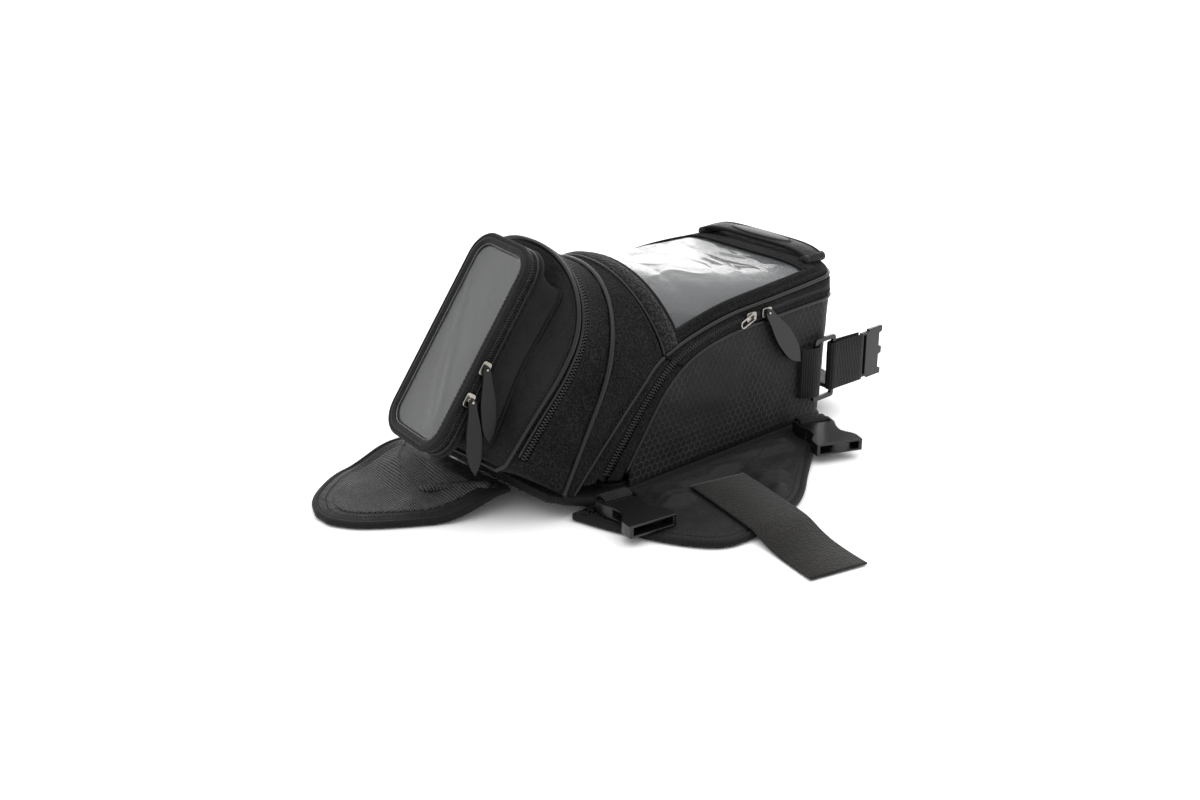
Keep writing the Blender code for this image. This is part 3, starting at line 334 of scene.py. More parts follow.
def rumple(size, amount, stretch=(1.0, 1.0, 1.0), seed=0.0):
    """A crease function: smooth noise of one size and height, fading out at the panel's edges."""
    def crease(point, i, j):
        at = Vector([c * s / size for c, s in zip(point, stretch)]) + Vector((seed, 7.3, 1.7))
        edge = min(1.0, 8 * min(i, 1 - i), 8 * min(j, 1 - j) + 0.15)
        wave = noise.noise(at) + 0.45 * noise.noise(at * 2.3)
        return amount * wave * edge
    return crease


print("panel helper ready")

# %% [markdown]
# The second helper sweeps a small section along a path that lies on a surface. A round section
# makes piping, a flat one makes binding, tape or webbing, and a stepped one makes a seam fold.
# The surface's direction at each point keeps the section from twisting.

# %% Sweep, stitches and zip teeth
def round_section(radius, count=8, flat=1.0):
    return [(radius * math.cos(2 * math.pi * k / count),
             radius * flat * math.sin(2 * math.pi * k / count)) for k in range(count)]


def strip_section(width, height, count=6):
    """A flat strip with rounded edges, lying on the surface."""
    half = width / 2
    top = [(half * (1 - 2 * k / count), height * (1 - (1 - 2 * k / count) ** 4) + height * 0.25)
           for k in range(count + 1)]
    return top + [(x, -height * 0.3) for x, _ in top[::-1]]


def path_frames(path, outwards, closed):
    """Each point of a path with its sideways and outward directions."""
    frames, count = [], len(path)
    for k, point in enumerate(path):
        ahead = path[(k + 1) % count] if closed else path[min(k + 1, count - 1)]
        behind = path[k - 1] if closed else path[max(k - 1, 0)]
        along = (ahead - behind).normalized()
        out = outwards[k] - along * outwards[k].dot(along)
        out.normalize()
        frames.append((point, along.cross(out), out))
    return frames


def closed_mesh(name, verts, faces):
    """A mesh of closed forms, with all of its faces turned outwards."""
    mesh = bpy.data.meshes.new(name)
    mesh.from_pydata(verts, [], faces)
    work = bmesh.new()
    work.from_mesh(mesh)
    bmesh.ops.recalc_face_normals(work, faces=work.faces)
    work.to_mesh(mesh)
    work.free()
    return mesh


def sweep(name, path, outwards, section, cloth, body, stands_for=(), closed=False, lift=0.0):
    """A section carried along a path, with its ends closed unless the path is a ring."""
    path = [Vector(p) for p in path]
    frames = path_frames(path, outwards, closed)
    sides, count = len(section), len(path)
    verts, flat, run = [], [], 0.0
    for k, (point, side, out) in enumerate(frames):
        run += (point - frames[k - 1][0]).length if k else 0.0
        for i, (a, b) in enumerate(section):
            verts.append(point + side * a + out * (b + lift))
            flat.append((a, run))
    faces = []
    for k in range(count if closed else count - 1):
        n = (k + 1) % count
        for i in range(sides):
            j = (i + 1) % sides
            faces.append((k * sides + i, k * sides + j, n * sides + j, n * sides + i))
    if not closed:
        faces += [tuple(range(sides))[::-1], tuple(range((count - 1) * sides, count * sides))]
    mesh = closed_mesh(name, verts, faces)
    flat_map(mesh, flat)
    return place_piece(name, mesh, cloth, body, stands_for)


def resample(path, outwards, step, closed=False):
    """Evenly spaced points, with their directions, along a path."""
    points = [Vector(p) for p in path] + ([Vector(path[0])] if closed else [])
    outs = list(outwards) + ([outwards[0]] if closed else [])
    found, left = [], 0.0
    for a, b, na, nb in zip(points, points[1:], outs, outs[1:]):
        length = (b - a).length
        while left < length:
            t = left / length
            found.append((a.lerp(b, t), na.lerp(nb, t).normalized(), (b - a).normalized()))
            left += step
        left -= length
    return found


def rods(name, marks, cloth, body, thickness, sides=5):
    """Many short bent rods in one mesh; each mark is a list of its points and its outward side."""
    verts, faces = [], []
    for points, out in marks:
        start = len(verts)
        for k, point in enumerate(points):
            along = (points[min(k + 1, len(points) - 1)] - points[max(k - 1, 0)]).normalized()
            side = along.cross(out).normalized()
            up = side.cross(along)
            small = 0.55 if k in (0, len(points) - 1) else 1.0
            for i in range(sides):
                turn = 2 * math.pi * i / sides
                verts.append(point + (side * math.cos(turn) + up * math.sin(turn))
                             * thickness * small)
        for k in range(len(points) - 1):
            for i in range(sides):
                a, b = start + k * sides + i, start + k * sides + (i + 1) % sides
                faces.append((a, b, b + sides, a + sides))
        faces.append(tuple(start + i for i in range(sides))[::-1])
        end = start + (len(points) - 1) * sides
        faces.append(tuple(end + i for i in range(sides)))
    return place_piece(name, closed_mesh(name, verts, faces), cloth, body)


def stitches(name, path, outwards, body, shift=0.0, lift=0.0004, closed=False, length=0.0024):
    """A row of short threads that dip into the cloth at both ends."""
    marks = []
    for point, out, along in resample(path, outwards, 0.0034, closed):
        middle = point + along.cross(out).normalized() * shift + out * lift
        marks.append(([middle - along * length / 2 - out * 0.0003, middle + out * 0.0002,
                       middle + along * length / 2 - out * 0.0003], out))
    return rods(name, marks, thread, body, 0.00034, 5)


def zip_teeth(name, path, outwards, body, side, width=0.0030, closed=False, pitch=0.0024):
    """One half of a coil zip: rods that reach from the tape across the middle line."""
    marks = []
    for point, out, along in resample(path, outwards, pitch, closed):
        across = along.cross(out).normalized() * side
        middle = point + along * (pitch / 2 if side > 0 else 0.0)
        marks.append(([middle + across * width + out * 0.0001, middle + across * width * 0.5
                       + out * 0.0008, middle - across * width * 0.22 + out * 0.0007], out))
    return rods(name, marks, coil_nylon, body, 0.30 * pitch, 5)


print("sweep, stitch and zip helpers ready")

# %% [markdown]
# The bag's skin is one smooth surface: a box-like section at the rear turns into a round arch
# at the front. A superellipse does both with a single exponent. Any point of it is found from a
# station along the bag and an angle round the section, so panels, piping and zips all meet.

# %% The bag's skin
HALF_WIDTH, CORNER, REAR_Y, REAR_LEAN = 0.078, 0.024, 0.186, 0.008
BASE_FRONT, BASE_TOP, BASE_CURL = -0.130, 0.0083, 0.014
ZIP_START, LID_FRONT, YOKE_FRONT = -0.112, -0.018, -0.122
SPRING_REAR = 0.106          # height at the rear where the wall starts to round over
POCKET_LEAN = math.radians(33.5)
POCKET_FOOT = Vector((0.0, -0.160, 0.044))
POCKET_HEIGHT, POCKET_BULGE = 0.166, 0.021


def ease(low, high, value):
    """0 below low, 1 above high, and a smooth step between them."""
    t = min(1.0, max(0.0, (value - low) / (high - low)))
    return t * t * (3 - 2 * t)


def floor_height(y):
    """The base curls up towards the front."""
    return BASE_TOP + BASE_CURL * (1 - ease(BASE_FRONT, BASE_FRONT + 0.05, y))


def section(y):
    """Half width, spring height, rise, exponent and how far round the rear corner."""
    along = ease(-0.03, 0.15, y)
    spring = 0.085 + 0.021 * along
    crown = 0.170 - 0.0305 * ease(-0.06, 0.19, y)
    facing = min(1.0, max(0.0, y - (REAR_Y - CORNER)) / CORNER)
    inset = CORNER * (1 - math.sqrt(1 - facing ** 2))
    return HALF_WIDTH - inset, spring, crown - spring, 2.1 + 2.9 * along, facing


def skin(y, angle, side=1, depth=0.0):
    """Point of the skin, or of the layer at some depth under it."""
    width, spring, rise, power, facing = section(y)
    width -= depth * math.sqrt(1 - facing ** 2)
    rise -= depth
    y -= depth * facing
    if angle <= 0:
        x, z = width, spring + width * math.tan(angle)
    else:
        c, s = math.cos(angle) / width, math.sin(angle) / rise
        reach = (max(0.0, c) ** power + s ** power) ** (-1.0 / power)
        x, z = reach * math.cos(angle), spring + reach * math.sin(angle)
    x = 0.0 if angle >= math.pi / 2 else x
    low = min(1.0, max(0.0, 1.0 - z / SPRING_REAR))
    return Vector((side * x, y - REAR_LEAN * low * ease(0.08, REAR_Y, y), z))


def angle_at(y, z):
    """Angle round the section at which the skin has this height."""
    width, spring, rise, power, _ = section(y)
    if z <= spring:
        return math.atan2(z - spring, width)
    high = min(0.999, (z - spring) / rise)
    return math.atan2(z - spring, width * (1 - high ** power) ** (1 / power))


def skin_out(y, angle, side=1):
    """Outward direction of the skin."""
    angle = min(angle, math.pi / 2 - 0.002)
    here = skin(y, angle, side)
    up = skin(y, angle + 0.002, side) - here
    back = skin(min(y, REAR_Y - 0.002), angle, side) - skin(min(y, REAR_Y - 0.002) - 0.002,
                                                            angle, side)
    out = back.cross(up) * side
    if y > REAR_Y - 0.001:
        out = Vector((0.0, 1.0, 0.0))
    return out.normalized()


def smooth_curve(points, steps=6):
    """A curve through a few points."""
    ends = [points[0]] + list(points) + [points[-1]]
    curve = []
    for a, b, c, d in zip(ends, ends[1:], ends[2:], ends[3:]):
        for k in range(steps):
            t = k / steps
            curve.append(tuple(0.5 * (2 * q + (r - p) * t + (2 * p - 5 * q + 4 * r - s) * t * t
                                      + (3 * q - p - 3 * r + s) * t ** 3)
                               for p, q, r, s in zip(a, b, c, d)))
    return curve + [tuple(points[-1])]


def height_on(curve, y):
    """Height of a side-view curve at one station."""
    for (y0, z0), (y1, z1) in zip(curve, curve[1:]):
        if y <= y1:
            return z0 + (z1 - z0) * max(0.0, (y - y0) / (y1 - y0))
    return curve[-1][1]


ZIP_TOP = smooth_curve([(ZIP_START, floor_height(ZIP_START)), (-0.080, 0.051), (-0.045, 0.085),
                        (LID_FRONT, 0.105), (0.041, 0.121), (0.100, 0.126), (REAR_Y, 0.130)])
ZIP_FOOT = smooth_curve([(-0.068, BASE_TOP), (-0.045, 0.040), (-0.018, 0.076), (0.012, 0.097),
                         (0.055, 0.107), (0.110, 0.110), (REAR_Y, 0.112)])
LID_START = (LID_FRONT - ZIP_START) / (REAR_Y - ZIP_START)


def zip_mark(s, across):
    """Station and angle on the zip band: s from front to rear, across from top to foot."""
    top_y = ZIP_START + (REAR_Y - ZIP_START) * s
    foot_y = top_y + 0.044 * (1 - ease(ZIP_START, 0.065, top_y))
    top_z, foot_z = height_on(ZIP_TOP, top_y), height_on(ZIP_FOOT, foot_y)
    y = top_y + (foot_y - top_y) * across
    return y, angle_at(y, top_z + (foot_z - top_z) * across)


def stations(start, stop, count):
    """Even steps along the zip, closer together round the rear corner."""
    corner = (REAR_Y - CORNER - ZIP_START) / (REAR_Y - ZIP_START)
    if stop < 1.0:
        return [start + (stop - start) * k / count for k in range(count + 1)]
    straight = [start + (corner - start) * k / count for k in range(count)]
    turns = [k / 16 * math.pi / 2 for k in range(17)]
    return straight + [corner + (1.0 - corner) * math.sin(t) for t in turns]


def zip_line(across, start, stop, count, side, proud=0.0):
    marks = [zip_mark(s, across) for s in stations(start, stop, count)]
    return ([skin(y, a, side, -proud) for y, a in marks],
            [skin_out(y, a, side) for y, a in marks])


def round_rear(line, proud=0.0):
    """Join a right-hand line across the rear wall to its mirror image."""
    points, outs = line
    flip = Vector((-1, 1, 1))
    end = points[-1]
    middle = [Vector((end.x * (1 - k / 8), end.y, end.z)) for k in range(1, 16)]
    rear = [Vector((0, 1, 0))] * 15
    return (points + middle + [p * flip for p in points[::-1]],
            outs + rear + [o * flip for o in outs[::-1]])


print("body at the zip: %.0f mm wide, %.0f mm long" % (2000 * HALF_WIDTH, 1000 * (REAR_Y + 0.13)))

# %% [markdown]
# The side panels hang from the zip to the base and wrap round the rear corners. On the real bag
# they are stiffened cloth over foam, so they stay nearly flat with a shallow, uneven swell.
# A fine grid on the skin, pushed out a little by smooth noise, gives that.

# %% Side and rear panels
FRONT_INSIDE = Vector((0.0, 0.03, 0.07))
for name, side in (("right", 1), ("left", -1)):
    grid = []
    for s in stations(1 / 22, 1.0, 84):
        y, top = zip_mark(s, 1.0)
        low = angle_at(y, floor_height(y) if y < 0 else BASE_TOP)
        grid.append([skin(y, top + (low - top) * a / 34, side) for a in range(35)])
    panel("side_cloth_" + name, grid, FRONT_INSIDE, embossed, "shell", ["side_panel_" + name],
          crease=rumple(0.045, 0.0013, (1, 0.8, 1.5), 3.0 * side))
rear_foot = REAR_Y - REAR_LEAN * (1 - BASE_TOP / SPRING_REAR)
grid = []
for k in range(31):
    z = BASE_TOP + (0.1115 - BASE_TOP) * k / 30
    y = rear_foot + (REAR_Y - rear_foot) * min(1.0, (z - BASE_TOP) / (SPRING_REAR - BASE_TOP))
    grid.append([(0.0541 * (a / 16 - 1), y, z) for a in range(33)])
panel("rear_cloth", grid, FRONT_INSIDE, oxford, "shell", ["rear_panel"],
      crease=rumple(0.04, 0.0012))

# %% [markdown]
# A zip on cloth like this is sewn in behind two folds. So each half is a tape with a soft raised
# fold along it, a row of coil teeth in the middle, and vinyl piping along both outer seams. The
# lid's half of the zip rides on the lid and the lower half on the shell, so the zip parts.

# %% Main zip
def zip_band(name, top, foot, start, stop, side, body, stands_for, folds=0.0010, whole=False):
    rows = []
    for k in range(9):
        across = top + (foot - top) * k / 8
        proud = folds * math.sin(math.pi * k / 8) ** 2
        line = zip_line(across, start, stop, 60, side)
        if whole:
            line = round_rear(line)
        rows.append([p + o * proud for p, o in zip(*line)])
    return panel(name, rows, FRONT_INSIDE, oxford, body, stands_for, thick=0.0010)


NEAR_LID = LID_START - 0.004
for name, side in (("right", 1), ("left", -1)):
    zip_band("front_tape_upper_" + name, 0.03, 0.35, 0.02, NEAR_LID, side, "shell",
             ["front_zip_" + name], 0.0009)
    zip_band("front_tape_lower_" + name, 0.65, 0.97, 0.02, NEAR_LID, side, "shell", (), 0.0009)
    middle = zip_line(0.5, 0.035, NEAR_LID, 60, side, 0.0003)
    zip_teeth("front_teeth_upper_" + name, *middle, "shell", -side, 0.0036)
    zip_teeth("front_teeth_lower_" + name, *middle, "shell", side, 0.0036)
    sweep("front_zip_bed_" + name, *zip_line(0.5, 0.02, NEAR_LID, 60, side, -0.0016),
          strip_section(0.009, 0.0004), lining, "shell")
    sweep("front_zip_piping_" + name, *zip_line(0.0, 0.0, LID_START, 60, side),
          round_section(0.0015), piping_vinyl, "shell", lift=0.0004)
    line = zip_line(0.20, 0.03, NEAR_LID, 60, side, 0.0012)
    stitches("front_zip_stitch_" + name, *line, "shell")

zip_band("zip_fold_lower", 0.54, 0.97, LID_START, 1.0, 1, "shell", ["zip_tape_lower"], 0.0013,
         whole=True)
zip_band("zip_fold_lid", 0.04, 0.46, LID_START, 1.0, 1, "lid", ["lid_skirt"], 0.0013, whole=True)
around = round_rear(zip_line(0.5, LID_START, 1.0, 60, 1, -0.0004))
bed = round_rear(zip_line(0.5, LID_START, 1.0, 60, 1, -0.0022))
sweep("shell_zip_bed", *bed, strip_section(0.009, 0.0004), lining, "shell")
zip_teeth("lid_teeth", *around, "lid", -1, 0.0026)
zip_teeth("shell_teeth", *around, "shell", 1, 0.0026)
sweep("lid_zip_piping", *round_rear(zip_line(0.0, LID_START + 0.004, 1.0, 70, 1)),
      round_section(0.0017), piping_vinyl, "lid", lift=0.0006)
sweep("shell_zip_piping", *round_rear(zip_line(1.0, 0.03, 1.0, 90, 1)),
      round_section(0.0015), piping_vinyl, "shell", lift=0.0004)

# %% [markdown]
# The yoke is one cut of oxford that carries the zip's front ends, the lid's fold line and the
# pocket. Its rows run from the pocket seam back to the zip and the lid. Thick piping covers the
# pocket seam; that is what draws the strong arch across the front of the bag.

# %% Yoke
YOKE_FOOT = floor_height(YOKE_FRONT) + 0.0006
LID_SIDE_Z = height_on(ZIP_TOP, LID_FRONT)
LID_SIDE_ANGLE = angle_at(LID_FRONT, LID_SIDE_Z)


def plane_edge(foot_y, foot_z, lean, angle):
    """Station where a leaning plane across the bag meets the skin."""
    y = foot_y
    for _ in range(12):
        y = foot_y + lean * (skin(y, angle).z - foot_z)
    return y


def yoke_front(angle):
    return plane_edge(YOKE_FRONT, YOKE_FOOT, 0.53, angle)


def lid_front(angle):
    return plane_edge(LID_FRONT, LID_SIDE_Z, -0.19, angle)


def mirrored(points):
    return list(points) + [Vector((-p.x, p.y, p.z)) for p in points[-2::-1]]


pairs = []
for k in range(48):
    y, angle = zip_mark(LID_START * k / 48, -0.03)
    pairs.append((y, max(angle, angle_at(y, floor_height(y)))))
for k in range(55):
    angle = LID_SIDE_ANGLE + (math.pi / 2 - LID_SIDE_ANGLE) * k / 54
    pairs.append((lid_front(angle) - 0.0012, angle))
foot_angle = angle_at(YOKE_FRONT, YOKE_FOOT)


def yoke_row(share, proud=0.0):
    row, outs = [], []
    for k, (back_y, back_angle) in enumerate(pairs):
        front_angle = foot_angle + (math.pi / 2 - foot_angle) * k / 102
        y = yoke_front(front_angle)
        y += (back_y - y) * share
        angle = front_angle + (back_angle - front_angle) * share
        out = skin_out(y, angle)
        row.append(skin(y, angle) + out * proud)
        outs.append(out)
    return mirrored(row), mirrored(outs)


panel("yoke_cloth", [yoke_row(k / 20)[0] for k in range(21)], FRONT_INSIDE, oxford, "shell",
      ["front_yoke"], crease=rumple(0.035, 0.0016, (1, 1, 0.7), 5.0))
sweep("yoke_piping", *yoke_row(0.0), round_section(0.0022, 10), piping_vinyl, "shell",
      lift=0.0010)
stitches("yoke_stitch", *yoke_row(0.13, 0.0002), "shell")
stitches("yoke_back_stitch", *yoke_row(0.93, 0.0002), "shell")
print("yoke edge at the crown:", [round(c, 3) for c in yoke_row(0.0)[0][102]])

# %% [markdown]
# The arch pocket stands on the yoke's front edge. Its side wall is a gusset: a strip of oxford
# gathered between the round body and the arched face, so it puckers along both seams. It is a
# loft between two rings, with ripples that fade towards the middle. The zip runs near the front.

# %% Arch pocket
RIGHT = Vector((1, 0, 0))
UP = Vector((0.0, math.sin(POCKET_LEAN), math.cos(POCKET_LEAN)))
OUT = RIGHT.cross(UP)


def pocket_point(u, v, proud=0.0):
    """Point of the bulged pocket face: u across, v up the slope."""
    bulge = POCKET_BULGE * (1 - (u / 0.075) ** 2) * (0.25 + 0.75 * ease(0.0, 0.09, v))
    return POCKET_FOOT + RIGHT * u + UP * v + OUT * (bulge + proud)


FOOT_MARKS = [(0.051 * k / 8, 0.0) for k in range(9)]
SIDE_MARKS = smooth_curve([(0.057, 0.006), (0.069, 0.068), (0.071, 0.096)], 10)
ARCH_MARKS = [(0.071 * math.cos(t) ** 0.85, 0.096 + 0.070 * math.sin(t) ** 0.95)
              for t in [math.pi / 2 * k / 32 for k in range(1, 33)]]
OUTLINE = FOOT_MARKS + SIDE_MARKS + ARCH_MARKS[:-1] + [(0.0, POCKET_HEIGHT)]


def closed(half):
    return half + [Vector((-p.x, p.y, p.z)) for p in half[-2:0:-1]]


front_edge = yoke_row(0.0)[0][:103]
forward = Vector((0.0, -1.0, 0.53)).normalized()
body_half = [Vector((0.066 * k / 8, front_edge[0].y, front_edge[0].z)) for k in range(9)]
shares = [i / 20 * 6 / 13 for i in range(21)] + [6 / 13 + j / 32 * 7 / 13 for j in range(1, 33)]
for share in shares:
    mark = share * 102
    i = min(int(mark), 101)
    body_half.append(front_edge[i].lerp(front_edge[i + 1], mark - i))
body_ring = [p + forward * 0.0015 for p in closed(body_half)]
pocket_ring = closed([pocket_point(u, v, -0.0012) for u, v in OUTLINE])
RING = len(pocket_ring)


def ring_outs(ring):
    middle = sum(ring, Vector()) / len(ring)
    outs = []
    for i, p in enumerate(ring):
        along = (ring[(i + 1) % len(ring)] - ring[i - 1]).normalized()
        away = p - middle
        outs.append((away - along * away.dot(along)).normalized())
    return outs


body_outs, pocket_outs = ring_outs(body_ring), ring_outs(pocket_ring)


def gusset_row(t, proud=0.0):
    row = []
    for a, b, oa, ob in zip(body_ring, pocket_ring, body_outs, pocket_outs):
        out = oa.lerp(ob, t)
        row.append(a.lerp(b, t) + out * (proud - 0.002 * math.sin(math.pi * t)))
    return row


def pucker(point, i, j):
    near = math.exp(-i / 0.22) + 0.7 * math.exp(-(1 - i) / 0.2)
    wave = math.sin(j * 150 + 9 * noise.noise(point * 22)) * 0.5 + 0.5 * noise.noise(point * 140)
    slow = noise.noise(Vector((point.x * 25, point.y * 16, point.z * 30)))
    return 0.0008 * near * wave + 0.0022 * slow * math.sin(math.pi * i)


ZIP_AT = 0.74
pocket_middle = sum(pocket_ring, Vector()) / RING * 0.5 + sum(body_ring, Vector()) / RING * 0.5
panel("pocket_gusset", [gusset_row(ZIP_AT * k / 18) for k in range(19)], pocket_middle, oxford,
      "shell", ["arch_pocket_gusset"], wrap=True, crease=pucker)
FOOT_END = 11
sides_only = slice(FOOT_END, RING - FOOT_END + 1)
foot_index = [i % RING for i in range(RING - FOOT_END, RING + FOOT_END + 1)]
rim_rows = [gusset_row(ZIP_AT + 0.13 + (0.87 - ZIP_AT) * k / 5) for k in range(6)]
panel("pocket_zip_rim", [row[sides_only] for row in rim_rows], pocket_middle, oxford, "arch_door",
      thick=0.0010)
foot_rows = [gusset_row(ZIP_AT + (1.0 - ZIP_AT) * k / 5) for k in range(6)]
panel("pocket_foot_cloth", [[row[i] for i in foot_index] for row in foot_rows], pocket_middle,
      oxford, "shell", thick=0.0010)
teeth_at = (gusset_row(ZIP_AT + 0.065, 0.0006)[sides_only], pocket_outs[sides_only])
zip_teeth("pocket_teeth_rear", *teeth_at, "shell", -1, 0.0034)
zip_teeth("pocket_teeth_front", *teeth_at, "arch_door", 1, 0.0034)
bed = gusset_row(ZIP_AT + 0.065, -0.0012)[sides_only]
sweep("pocket_zip_bed", bed, pocket_outs[sides_only], strip_section(0.011, 0.0004), lining,
      "shell")
sweep("pocket_zip_fold", gusset_row(ZIP_AT - 0.05, 0.0004)[sides_only], pocket_outs[sides_only],
      strip_section(0.0045, 0.0012), oxford, "shell")
sweep("pocket_inner_piping", gusset_row(0.925)[sides_only], pocket_outs[sides_only],
      round_section(0.0014), piping_vinyl, "arch_door", lift=0.0008)
rim = closed([pocket_point(u, v, 0.0010) for u, v in OUTLINE])
sweep("pocket_piping", rim, pocket_outs, round_section(0.0020, 10), piping_vinyl, "arch_door",
      closed=True)
print("pocket ring:", RING, "points")

# %% [markdown]
# The pocket's face is a smoother coated nylon. It bulges forward and has soft crinkles and a few
# slack diagonal folds where it is pulled towards its corners. The grid narrows with the arch.

# %% Arch pocket face
def half_width_at(level):
    rising = OUTLINE[8:]
    for (u0, v0), (u1, v1) in zip(rising, rising[1:]):
        if v0 <= level <= v1 and v1 > v0:
            return u0 + (u1 - u0) * (level - v0) / (v1 - v0)
    return max(0.006, rising[-1][0])


def face_folds(point, i, j):
    edge = min(1.0, 9 * min(i, 1 - i), 9 * min(j, 1 - j))
    slack = noise.noise(Vector((point.x * 60 + point.z * 40, point.z * 14, 2.0)))
    return edge * (0.0009 * slack + 0.0007 * noise.noise(point * 75))


grid = []
for i in range(53):
    level = POCKET_HEIGHT * (0.004 + 0.992 * (1 - (1 - i / 52) ** 1.25))
    half = half_width_at(level) - 0.0006
    grid.append([pocket_point(half * (k / 26 - 1), level, 0.0016) for k in range(53)])
panel("pocket_face", grid, pocket_middle, nylon, "arch_door", ["arch_door_panel"],
      thick=0.0010, crease=face_folds)
stitch_rim = closed([pocket_point(u * 0.955, 0.004 + v * 0.955, 0.0020) for u, v in OUTLINE])
stitches("pocket_face_stitch", stitch_rim[2:-2], [OUT] * (RING - 4), "arch_door")
print("pocket face:", len(grid) * len(grid[0]), "points")

# %% [markdown]
# The phone pocket is a shallow zipped tray with a bound, clear front. Working in its own flat
# frame is easier than on the slope, so every point is laid out there and placed by one matrix.
# Its wall swells between two bindings, and the coil zip runs round the wall.

# %% Phone pocket
PHONE = (Matrix.Translation((0.0, -0.1575, 0.132)) @ Matrix.Rotation(math.radians(-8), 4, "Z")
         @ Matrix.Rotation(math.pi / 2 - POCKET_LEAN, 4, "X"))
PHONE_W, PHONE_L, PHONE_R = 0.076, 0.165, 0.020
PHONE_OUT = (PHONE.to_3x3() @ Vector((0, 0, 1))).normalized()


def rounded(width, length, radius, arc=10, side=12):
    """Closed loop round a rounded rectangle, with even points on its straight sides."""
    corners = [(1, 1), (-1, 1), (-1, -1), (1, -1)]

    def on_corner(corner, degrees):
        sx, sy = corners[corner % 4]
        t = math.radians(degrees)
        return (sx * (width / 2 - radius) + radius * math.cos(t),
                sy * (length / 2 - radius) + radius * math.sin(t))

    loop = []
    for corner in range(4):
        start = 90 * corner
        loop += [on_corner(corner, start + 90 * k / arc) for k in range(arc + 1)]
        (x, y), (nx, ny) = loop[-1], on_corner(corner + 1, start + 90)
        loop += [(x + (nx - x) * k / side, y + (ny - y) * k / side) for k in range(1, side)]
    return loop


def phone_ring(grow, depth):
    """A loop round the pocket, grown or shrunk from its outline, at one depth."""
    loop = rounded(PHONE_W + 2 * grow, PHONE_L + 2 * grow, max(0.002, PHONE_R + grow))
    return [PHONE @ Vector((x, y, depth)) for x, y in loop]


def phone_outs():
    loop = rounded(PHONE_W, PHONE_L, PHONE_R)
    outs = []
    for k, (x, y) in enumerate(loop):
        (ax, ay), (bx, by) = loop[k - 1], loop[(k + 1) % len(loop)]
        outs.append((PHONE.to_3x3() @ Vector((by - ay, ax - bx, 0))).normalized())
    return outs


side_outs = phone_outs()
wall = [(0.0, -0.0026), (0.0006, -0.0034), (0.0004, -0.0040), (-0.0006, -0.0046),
        (-0.0006, -0.0076), (0.0004, -0.0084), (0.0010, -0.0118), (0.0002, -0.0152),
        (-0.003, -0.0160), (-0.012, -0.0160), (-0.024, -0.0158), (-0.035, -0.0157)]
panel("phone_wall", [phone_ring(g, d) for g, d in wall], PHONE @ Vector((0, 0, -0.006)), oxford,
      "arch_door", ["phone_tub"], thick=0.0009, wrap=True, caps=("last",))
zip_teeth("phone_teeth_front", phone_ring(-0.0011, -0.0061), side_outs, "arch_door", -1,
          0.0022, True, 0.0020)
zip_teeth("phone_teeth_rear", phone_ring(-0.0011, -0.0061), side_outs, "arch_door", 1,
          0.0022, True, 0.0020)
sweep("phone_rear_binding", phone_ring(0.0004, -0.0148), side_outs, round_section(0.0017),
      grosgrain, "arch_door", closed=True)
sweep("phone_front_binding", phone_ring(-0.0006, -0.0012), side_outs,
      round_section(0.0021, 10), grosgrain, "phone_door", closed=True)
sweep("phone_zip_seam", phone_ring(0.0006, -0.0105), side_outs, round_section(0.0008),
      piping_vinyl, "arch_door", closed=True)
rim = [(-0.0012, -0.0014), (-0.0022, 0.0006), (-0.0040, 0.0010), (-0.0058, 0.0006),
       (-0.0072, -0.0006)]
panel("phone_frame", [phone_ring(g, d) for g, d in rim], PHONE @ Vector((0, 0, -0.02)), nylon,
      "phone_door", ["phone_door_frame"], thick=0.0007, wrap=True)
stitches("phone_frame_stitch", phone_ring(-0.0046, 0.0010), [PHONE_OUT] * len(side_outs),
         "phone_door", closed=True, lift=0.0001)
print("phone pocket ring:", len(side_outs), "points")

# %% [markdown]
# The phone window is soft vinyl welded to the frame. It is never flat: it sags and keeps the
# long diagonal creases of its packing. Rings shrunk towards the middle make a sheet with rounded
# corners, and a thin weld bead round its edge catches a bright line of light.

# %% Phone window
def window_waves(point, i, j):
    local = PHONE.inverted() @ point
    along = local.x * 0.75 + local.y * 0.35
    long_crease = math.exp(-((along - 0.004 * noise.noise(local * 30) + 0.004) / 0.0035) ** 2)
    second = math.exp(-((along + 0.0125 + 0.003 * noise.noise(local * 40)) / 0.0025) ** 2)
    slow = noise.noise(Vector((local.x * 26, local.y * 13, 3.0)))
    return min(1.0, 5 * i) * (0.0011 * slow + 0.0008 * long_crease + 0.0005 * second)


sheet_rings = []
for k in range(17):
    shrink = 1.0 - 0.965 * k / 16
    sheet_rings.append([PHONE @ Vector((x * shrink, y * shrink, -0.0019)) for x, y in
                        rounded(PHONE_W - 0.0125, PHONE_L - 0.0125, PHONE_R - 0.006)])
panel("phone_window_film", sheet_rings, PHONE @ Vector((0, 0, -0.03)), phone_vinyl,
      "phone_door", ["phone_window"], thick=0.0005, wrap=True, crease=window_waves,
      caps=("last",))
weld = [PHONE @ Vector((x, y, -0.0010)) for x, y in rounded(0.0612, 0.1502, 0.0126)]
sweep("phone_weld", weld, [PHONE_OUT] * len(weld), round_section(0.00055, 8), phone_vinyl,
      "phone_door", closed=True)
print("phone window weld:", len(weld), "points")

# %% [markdown]
# Behind the tray a soft skirt joins it to the pocket's face. It is drawn in between the two, so
# it reads as a deep dark fold, and its hem is a narrow bound seam on the face.

# %% Skirt behind the phone pocket
def on_face(point, spread, proud):
    level = (point - POCKET_FOOT).dot(UP)
    level = min(0.138, max(0.014, 0.076 + (level - 0.076) * 0.93))
    limit = half_width_at(level) - 0.010
    u = max(-limit, min(limit, point.x * spread))
    return pocket_point(u, level, proud)


